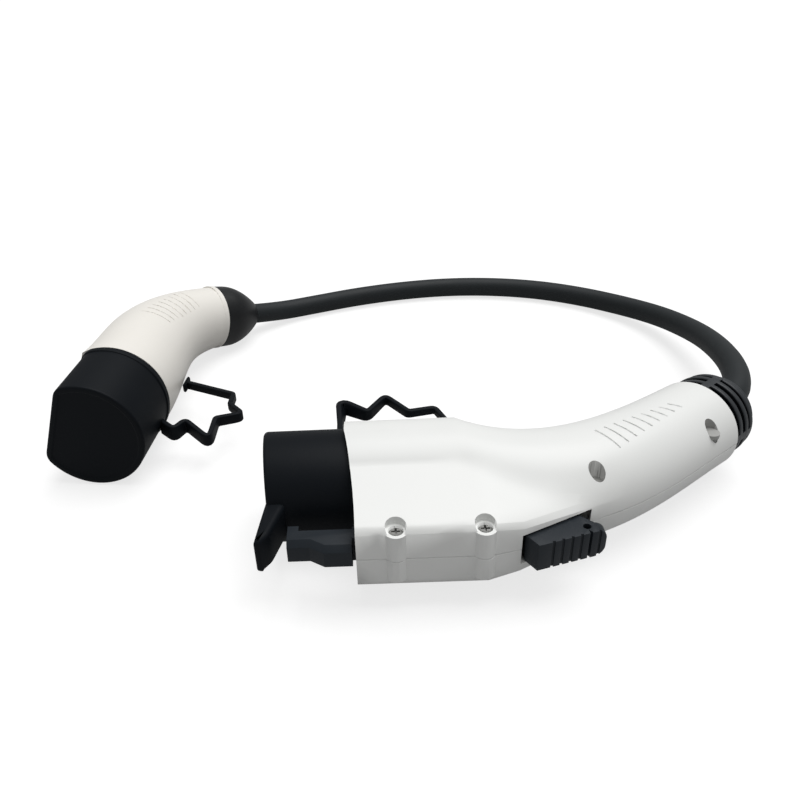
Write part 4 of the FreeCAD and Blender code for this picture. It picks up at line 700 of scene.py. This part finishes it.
def add_lever():
    """The lever with its flat faces whole, its edges eased and its padlock hole drawn in."""
    shape = merged_copy("latch_lever")
    middle = place(*PADLOCK_PLACE, 0.0)
    for vertex in shape.verts:
        away = Vector((vertex.co.x - middle.x, vertex.co.y - middle.y, 0.0))
        if away.length < PADLOCK_REACH * MM:
            vertex.co -= away * (1.0 - PADLOCK_SHARE)
    flat = math.radians(1.0)
    bmesh.ops.dissolve_limit(shape, angle_limit=flat, verts=shape.verts, edges=shape.edges)
    mesh = bpy.data.meshes.new("lever_skin")
    shape.to_mesh(mesh)
    shape.free()
    rough = bpy.data.objects.new("lever_rough", mesh)
    bpy.context.scene.collection.objects.link(rough)
    bevel = rough.modifiers.new("edges", "BEVEL")
    bevel.width = LEVER_EDGE * MM
    bevel.segments = 3
    bevel.limit_method = "ANGLE"
    bevel.angle_limit = math.radians(25.0)
    bpy.context.view_layer.update()
    graph = bpy.context.evaluated_depsgraph_get()
    done = bpy.data.meshes.new_from_object(rough.evaluated_get(graph))
    bpy.data.objects.remove(rough)
    placed("lever_skin", done, "slate_plastic", "latch_lever", ["latch_lever"], sharp=40.0)


SPRING_ALONG = 61.0
SPRING_SEAT = -29.0


def add_spring():
    """The lever's spring, made from its solid's mesh."""
    shape = merged_copy("latch_spring")
    item = piece("lever_spring", shape, "steel", "root", ["latch_spring"], sharp=0.0)
    seat = place(SPRING_ALONG, SPRING_SEAT, AXIS_UP)
    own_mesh(item)


# Cap of the latched plug
CAP_RADIUS = 24.8
CAP_END = 41.4
CAP_INNER = 22.2
CAP_INNER_END = 38.8
CAP_MOUTH = 1.5
CAP_DISH = 19.0
CAP_DISH_DEEP = 1.2
TAB_HALF = 8.5
CAP_TILT = 0.08
CAP_TILT_FROM = 8.0


def add_front_cap():
    """Cup with a dished end, and the tab that the thumb pulls."""
    shape = bmesh.new()
    profile = eased(
        [
            (CAP_DISH_DEEP - CAP_END, 0.0),
            (CAP_DISH_DEEP - CAP_END, CAP_DISH - 0.8),
            (-CAP_END, CAP_DISH + 0.4),
            (-CAP_END, CAP_RADIUS),
            (-CAP_MOUTH, CAP_RADIUS),
            (-CAP_MOUTH, CAP_INNER),
            (-CAP_INNER_END, CAP_INNER),
            (-CAP_INNER_END, 0.0),
        ],
        [0.0, 0.8, 0.9, 1.6, 0.5, 0.5, 0.8, 0.0],
    )
    lathe(shape, PLUG, profile)
    for vertex in shape.verts:
        local = PLUG.inverted() @ vertex.co
        deep = min(1.0, max(0.0, (-CAP_MOUTH - local[0]) / (CAP_END - CAP_MOUTH)))
        vertex.co.x += CAP_TILT * max(0.0, CAP_TILT_FROM - local[1]) * deep * MM
    tab = eased(
        [
            (2.0 - CAP_END, -21.0),
            (0.6 - CAP_END, -34.0),
            (-CAP_END - 0.6, -46.0),
            (1.8 - CAP_END, -46.0),
            (5.6 - CAP_END, -40.8),
            (9.6 - CAP_END, -27.0),
            (11.6 - CAP_END, -21.0),
        ],
        [0.0, 14.0, 1.1, 1.1, 9.0, 6.0, 0.0],
    )
    slab(shape, PLUG, tab, TAB_HALF, 2.2, 5)
    item = piece("front_cap", shape, "cap_rubber", "type1_cap", ["type1_cap"])


# Cap of the keyed plug
KEYED_RADIUS = 29.5
KEYED_FLAT = 19.9
KEYED_LENGTH = 40.0
KEYED_WALL = 2.4
KEYED_LIP = 0.7
KEYED_LIP_WIDE = 4.0
KEYED_CORNER = 8.0
KEYED_CORE = 14.0


def keyed_ring(deep, steps=64):
    """A round outline with one flat side and soft corners, set in by a depth."""
    radius = KEYED_RADIUS - deep
    flat = KEYED_FLAT - deep
    corner = max(1.5, KEYED_CORNER - 2.5 * deep)
    middle = Vector((flat - corner, math.sqrt((radius - corner) ** 2 - (flat - corner) ** 2)))
    swing = math.atan2(middle[1], middle[0])
    points = []
    for step in range(7):
        angle = swing * step / 6
        points.append(middle + corner * Vector((math.cos(angle), math.sin(angle))))
    for step in range(1, steps):
        angle = swing + (2 * math.pi - 2 * swing) * step / steps
        points.append(radius * Vector((math.cos(angle), math.sin(angle))))
    for step in range(7):
        angle = -swing * (1 - step / 6)
        spot = Vector((middle[0], -middle[1]))
        points.append(spot + corner * Vector((math.cos(angle), math.sin(angle))))
    for step in range(1, 8):
        share = step / 8
        points.append(Vector((flat, -middle[1] + 2 * middle[1] * share)))
    return points


def add_keyed_cap():
    """Cup with one flat side, a lip at its mouth and a soft end."""
    shape = bmesh.new()
    inner = KEYED_WALL
    profile = eased(
        [
            (0.5, KEYED_CORE),
            (0.5, 3.6),
            (0.0, 2.8),
            (0.0, 0.0),
            (KEYED_LENGTH - KEYED_LIP_WIDE, 0.0),
            (KEYED_LENGTH - KEYED_LIP_WIDE + 0.5, -KEYED_LIP),
            (KEYED_LENGTH, -KEYED_LIP),
            (KEYED_LENGTH, inner),
            (inner, inner),
            (inner, KEYED_CORE),
        ],
        [0.0, 0.4, 0.4, 1.7, 0.4, 0.5, 0.8, 0.5, 0.8, 0.0],
    )
    rings = []
    for along, deep in profile:
        ring = [shape.verts.new(ELBOW @ Vector((along, a, b))) for a, b in keyed_ring(deep)]
        rings.append(ring)
    bridge(shape, rings)
    shape.faces.new(rings[0])
    shape.faces.new(rings[-1])
    item = piece("keyed_cap", shape, "cap_rubber", "type2_cap", ["type2_cap"])


# Straps of both caps: zigzag lines in plan, from the cap to the plug
STRAP_HALF = 1.4
STRAP_EDGE = 0.8
FRONT_STRAP_HIGH = (3.6, 1.9)
KEYED_STRAP_HIGH = (4.6, 2.4)
KEYED_STRAP_UP = 18.0
STRAP_FALL = 1.3
STRAP_BEND = 2.6
STRAP_LEAN = 0.5
STRAP_LEAN_SPAN = 22.0
FRONT_STRAP = [
    (-8.9, 24.4), (-8.9, 44.8), (-8.7, 66.1), (5.0, 55.8), (14.6, 71.7), (25.8, 56.1),
    (39.7, 58.9), (44.4, 46.3), (44.4, 27.6),
]
KEYED_STRAP = [
    (-106.0, 69.0), (-97.9, 60.7), (-93.3, 69.9), (-77.7, 51.4), (-77.2, 71.7),
    (-63.0, 75.6), (-71.6, 86.5), (-70.8, 97.1), (-101.2, 112.9),
]
KEYED_FOOT = (-100.9, 112.8)
FOOT_SIZE = (10.0, 1.8, 5.2)
FOOT_EDGE = 0.5


def strap(name, points, up, highs, lean_at=None, foot=None):
    """A rubber band on edge along a zigzag, high at the cap and lower at the plug.

    It leans over at one of its bends, where it is folded round, and may end in a foot.
    """
    line = eased(points, [0.0] + [STRAP_BEND] * (len(points) - 2) + [0.0], 5)
    shape = bmesh.new()
    rings = []
    for number, spot in enumerate(line):
        before = line[max(0, number - 1)]
        after = line[min(len(line) - 1, number + 1)]
        along = (after - before).normalized()
        side = Vector((-along[1], along[0]))
        share = number / (len(line) - 1)
        high = highs[0] + (highs[1] - highs[0]) * min(1.0, share * STRAP_FALL)
        half = STRAP_HALF
        square = [(-half, -high), (half, -high), (half, high), (-half, high)]
        ring = []
        lean = 0.0
        if lean_at:
            lean = STRAP_LEAN * max(0.0, 1.0 - (spot - Vector(lean_at)).length / STRAP_LEAN_SPAN)
        for out, rise in eased(square, [STRAP_EDGE] * 4, 3):
            flat = spot + side * (out + lean * rise)
            ring.append(shape.verts.new(place(flat[0], flat[1], up + rise)))
        rings.append(ring)
    bridge(shape, rings)
    shape.faces.new(rings[0])
    shape.faces.new(rings[-1])
    if foot:
        size = Matrix.Diagonal((*FOOT_SIZE, 1.0))
        made = bmesh.ops.create_cube(shape, size=1.0, matrix=frame_at(*foot, up, ELBOW_TURN) @ size)
        edges = list({edge for vertex in made["verts"] for edge in vertex.link_edges})
        bmesh.ops.bevel(shape, geom=edges, offset=FOOT_EDGE * MM, segments=2, affect="EDGES")
    item = piece(name, shape, "cap_rubber", None, [name], sharp=50.0)
    place(*points[-1], up)
    place(*points[0], up)
    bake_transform(item)


def add_straps():
    """The strap of each cap."""
    fold = FRONT_STRAP[2]
    strap("type1_strap", FRONT_STRAP, AXIS_UP, FRONT_STRAP_HIGH, lean_at=fold)
    strap("type2_strap", KEYED_STRAP, KEYED_STRAP_UP, KEYED_STRAP_HIGH, foot=KEYED_FOOT)


# Boot and gland
CABLE_RADIUS = 6.7
BOOT_LENGTH = 23.6
BOOT_CORE_DEEP = 2.4
BOOT_SPINE = 5.6
BOOT_DOME_FROM = 12.0
BOOT_DOME_FALL = 0.0021
BOOT_RADIUS = 20.6
BOOT_RIBS = {
    "Count": 5, "First": 1.1, "Pitch": 4.9, "Wide": 2.5, "Deep": 4.0,
    "Radius": BOOT_RADIUS, "Dome from": BOOT_DOME_FROM, "Dome fall": BOOT_DOME_FALL,
}


def boot_radius(along):
    """Radius of the boot's outside: straight, then a dome."""
    return BOOT_RADIUS * (1.0 - BOOT_DOME_FALL * max(0.0, along - BOOT_DOME_FROM) ** 2)


def row_of_ribs(name, sizes, finish):
    """Rings with soft edges, spaced along Z and drawn in where the dome falls."""
    tree = bpy.data.node_groups.new(name, "GeometryNodeTree")
    graph = Graph(tree)
    for key, value in sizes.items():
        kind = "NodeSocketInt" if isinstance(value, int) else "NodeSocketFloat"
        tree.interface.new_socket(name=key, in_out="INPUT", socket_type=kind)
    tree.interface.new_socket(name="Geometry", in_out="OUTPUT", socket_type="NodeSocketGeometry")
    group = tree.nodes.new("NodeGroupInput")
    size = {socket.name: Value(graph, socket) for socket in group.outputs if socket.name}
    first = graph.node("ShaderNodeCombineXYZ", sockets={"Z": size["First"]})
    pitch = graph.node("ShaderNodeCombineXYZ", sockets={"Z": size["Pitch"]})
    line = graph.node(
        "GeometryNodeMeshLine", {"mode": "OFFSET"},
        {"Count": size["Count"], "Start Location": first, "Offset": pitch},
    )
    circle = graph.node(
        "GeometryNodeCurvePrimitiveCircle",
        sockets={"Resolution": 96, "Radius": size["Radius"] - size["Deep"] * 0.5},
    )
    section = graph.node(
        "GeometryNodeCurvePrimitiveQuadrilateral",
        sockets={"Width": size["Deep"], "Height": size["Wide"]},
    )
    soft = graph.node(
        "GeometryNodeFilletCurve", {"mode": "POLY"}, {"Curve": section, "Radius": 0.5, "Count": 3}
    )
    ring = graph.node("GeometryNodeCurveToMesh", sockets={"Curve": circle, "Profile Curve": soft})
    spot = graph.node("GeometryNodeInputPosition")
    along = graph.node("ShaderNodeSeparateXYZ", sockets={"Vector": spot}, out="Z")
    past = graph.node(
        "ShaderNodeMath", {"operation": "MAXIMUM"}, {0: along - size["Dome from"], 1: 0.0}
    )
    drawn = 1.0 - past * past * size["Dome fall"]
    scale = graph.node("ShaderNodeCombineXYZ", sockets={"X": drawn, "Y": drawn, "Z": 1.0})
    rings = graph.node(
        "GeometryNodeInstanceOnPoints", sockets={"Points": line, "Instance": ring, "Scale": scale}
    )
    real = graph.node("GeometryNodeRealizeInstances", sockets={"Geometry": rings})
    painted = graph.node("GeometryNodeSetMaterial", sockets={"Geometry": real, "Material": finish})
    out = tree.nodes.new("NodeGroupOutput")
    tree.links.new(painted.socket, out.inputs["Geometry"])
    blank = bpy.data.objects.new(name, bpy.data.meshes.new(name))
    bpy.context.scene.collection.objects.link(blank)
    ribs = blank.modifiers.new("ribs", "NODES")
    ribs.node_group = tree
    for socket in tree.interface.items_tree:
        if socket.in_out == "INPUT":
            ribs[socket.identifier] = sizes[socket.name]
    bpy.context.view_layer.update()
    graph_now = bpy.context.evaluated_depsgraph_get()
    mesh = bpy.data.meshes.new_from_object(blank.evaluated_get(graph_now))
    bpy.data.objects.remove(blank)
    return mesh


def add_boot():
    """Rubber boot: a cored body, a row of ribs round it and four spines that bridge them, with painted
    shade on the core between the ribs.
    """
    core = [
        (BOOT_LENGTH, CABLE_RADIUS), (-6.0, CABLE_RADIUS), (-6.0, 18.2), (-3.0, 18.2), (-3.0, 16.4),
        (0.1, 16.4), (0.1, BOOT_RADIUS - BOOT_CORE_DEEP),
    ]
    for along in stepped(3.0, BOOT_LENGTH, 2.0):
        core.append((along, boot_radius(along) - BOOT_CORE_DEEP))
    core.append((BOOT_LENGTH, boot_radius(BOOT_LENGTH) - BOOT_CORE_DEEP - 0.6))
    shape = bmesh.new()
    ribs = row_of_ribs("boot_ribs", BOOT_RIBS, FINISH["boot_rubber"])
    shape.from_mesh(ribs)
    upright = Matrix.Rotation(math.pi / 2, 4, "Y")
    bmesh.ops.transform(shape, matrix=HANDLE_END @ upright, verts=shape.verts)
    lathe(shape, HANDLE_END, [Vector(point) for point in core], steps=128)
    spine = [(along, boot_radius(along) - 0.02) for along in stepped(0.4, BOOT_LENGTH - 0.4, 1.0)]
    spine += [(BOOT_LENGTH - 0.2, 12.0), (0.4, 14.0)]
    for number in range(4):
        start = 90.0 * number - BOOT_SPINE
        lathe(shape, HANDLE_END, [Vector(point) for point in spine], 2 * BOOT_SPINE, start, 6)
    item = piece("boot", shape, "boot_rubber", "root", ["strain_relief_boot"])
    # The core between the ribs takes the blacker cap rubber: painted shade in the slots between the
    # ribs
    item.data.materials.append(FINISH["cap_rubber"])
    inverse = HANDLE_END.inverted()
    for polygon in item.data.polygons:
        spot = inverse @ polygon.center
        if math.hypot(spot[1], spot[2]) < boot_radius(spot[0]) - BOOT_CORE_DEEP / 2:
            polygon.material_index = 1


GLAND_LENGTH = 31.0
GLAND_DOME_FROM = 8.0
GLAND_RADIUS = 20.5
GLAND_TAPER = 0.04
GLAND_DOME_FALL = 11.0
GLAND_DOME_CURVE = 1.8


def gland_radius(along):
    """Radius of the gland nut's outside: a short skirt, then a dome."""
    share = max(0.0, along - GLAND_DOME_FROM) / (GLAND_LENGTH - GLAND_DOME_FROM)
    return GLAND_RADIUS - GLAND_TAPER * along - GLAND_DOME_FALL * share**GLAND_DOME_CURVE


def add_gland():
    """Domed gland nut, bored for its seal and the cable."""
    outside = [(along, gland_radius(along)) for along in stepped(0.0, GLAND_LENGTH + 1.0, 1.5)]
    inside = [
        (GLAND_LENGTH, CABLE_RADIUS), (23.2, CABLE_RADIUS), (21.2, 9.1), (17.2, 12.1), (10.1, 12.1),
        (10.1, 16.1), (0.0, 16.1),
    ]
    radii = [0.6] + [0.0] * (len(outside) - 1) + [0.3] * len(inside)
    shape = bmesh.new()
    lathe(shape, GLAND, eased(outside + inside, radii, 4))
    item = piece("gland_dome", shape, "gland_plastic", "root", ["type2_gland_nut"])


# Free cable, from inside the boot to the gland's end: it rests on the surface in between
CABLE_SUNK = 3.6
CABLE_ROUTE = [
    (192.0, 59.3, 28.4), (200.6, 75.8, 28.4), (205.4, 94.0, 27.2), (208.2, 115.0, 24.6),
    (209.4, 138.5, 20.6), (206.8, 163.5, 16.0), (199.5, 189.5, 11.6), (183.5, 214.0, 8.3),
    (161.0, 235.0, 6.9), (133.5, 250.0, 6.8), (102.0, 259.3, 6.8), (68.0, 262.8, 6.8),
    (33.0, 259.8, 6.8), (-1.5, 252.2, 6.8), (-33.0, 241.2, 6.8), (-57.4, 229.1, 8.5),
]


def add_cable():
    """The cable between the plugs, as one smooth curve."""
    start = HANDLE_END @ Vector((BOOT_LENGTH - CABLE_SUNK, 0.0, 0.0))
    stop = GLAND @ Vector((GLAND_LENGTH, 0.0, 0.0))
    route = [start] + [place(*spot) for spot in CABLE_ROUTE] + [stop]
    curve = bpy.data.curves.new("cable", "CURVE")
    curve.dimensions = "3D"
    curve.bevel_depth = CABLE_RADIUS * MM
    curve.bevel_resolution = 12
    curve.resolution_u = 16
    spline = curve.splines.new("NURBS")
    spline.points.add(len(route) - 1)
    for point, spot in zip(spline.points, route):
        point.co = (*spot, 1.0)
    spline.order_u = 3
    spline.use_endpoint_u = True
    curve.materials.append(FINISH["cable_jacket"])
    item = bpy.data.objects.new("free_cable", curve)
    bpy.context.scene.collection.objects.link(item)
    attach(item, "root")
    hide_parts("cable")


def add_stage():
    """The pale floor under the lead."""
    mesh = bpy.data.meshes.new("floor")
    half = FLOOR_HALF
    edge = [(-half, -half, 0), (half, -half, 0), (half, half, 0), (-half, half, 0)]
    mesh.from_pydata(edge, [], [(0, 1, 2, 3)])
    mesh.materials.append(floor_finish())
    floor = bpy.data.objects.new("floor", mesh)
    bpy.context.scene.collection.objects.link(floor)


def add_light():
    """A soft high light from behind, and an even surround that the camera sees as white."""
    world = bpy.data.worlds.new("surround")
    world.use_nodes = True
    graph = Graph(world.node_tree)
    seen = graph.node("ShaderNodeLightPath", out="Is Camera Ray")
    through = graph.node("ShaderNodeLightPath", out="Is Transmission Ray")
    level = (seen + through) * (1.0 - SURROUND) + SURROUND
    white = (1.0, 1.0, 1.0, 1.0)
    surround = graph.node("ShaderNodeBackground", sockets={"Color": white, "Strength": level})
    graph.node("ShaderNodeOutputWorld", sockets={"Surface": surround})
    bpy.context.scene.world = world
    data = bpy.data.lights.new("overhead", "SUN")
    data.energy = SUN_STRENGTH
    data.angle = math.radians(SUN_SOFTNESS)
    lamp = bpy.data.objects.new("overhead", data)
    lamp.rotation_euler = Vector(SUN_FROM).to_track_quat("Z", "Y").to_euler()
    bpy.context.scene.collection.objects.link(lamp)


add_camera()
add_cable()
paint_frame()
add_shells()
add_elbow()
add_lever()
add_spring()
add_front_cap()
add_keyed_cap()
add_straps()
add_boot()
add_gland()
add_stage()
add_light()
bpy.context.scene.view_settings.view_transform = "Standard"
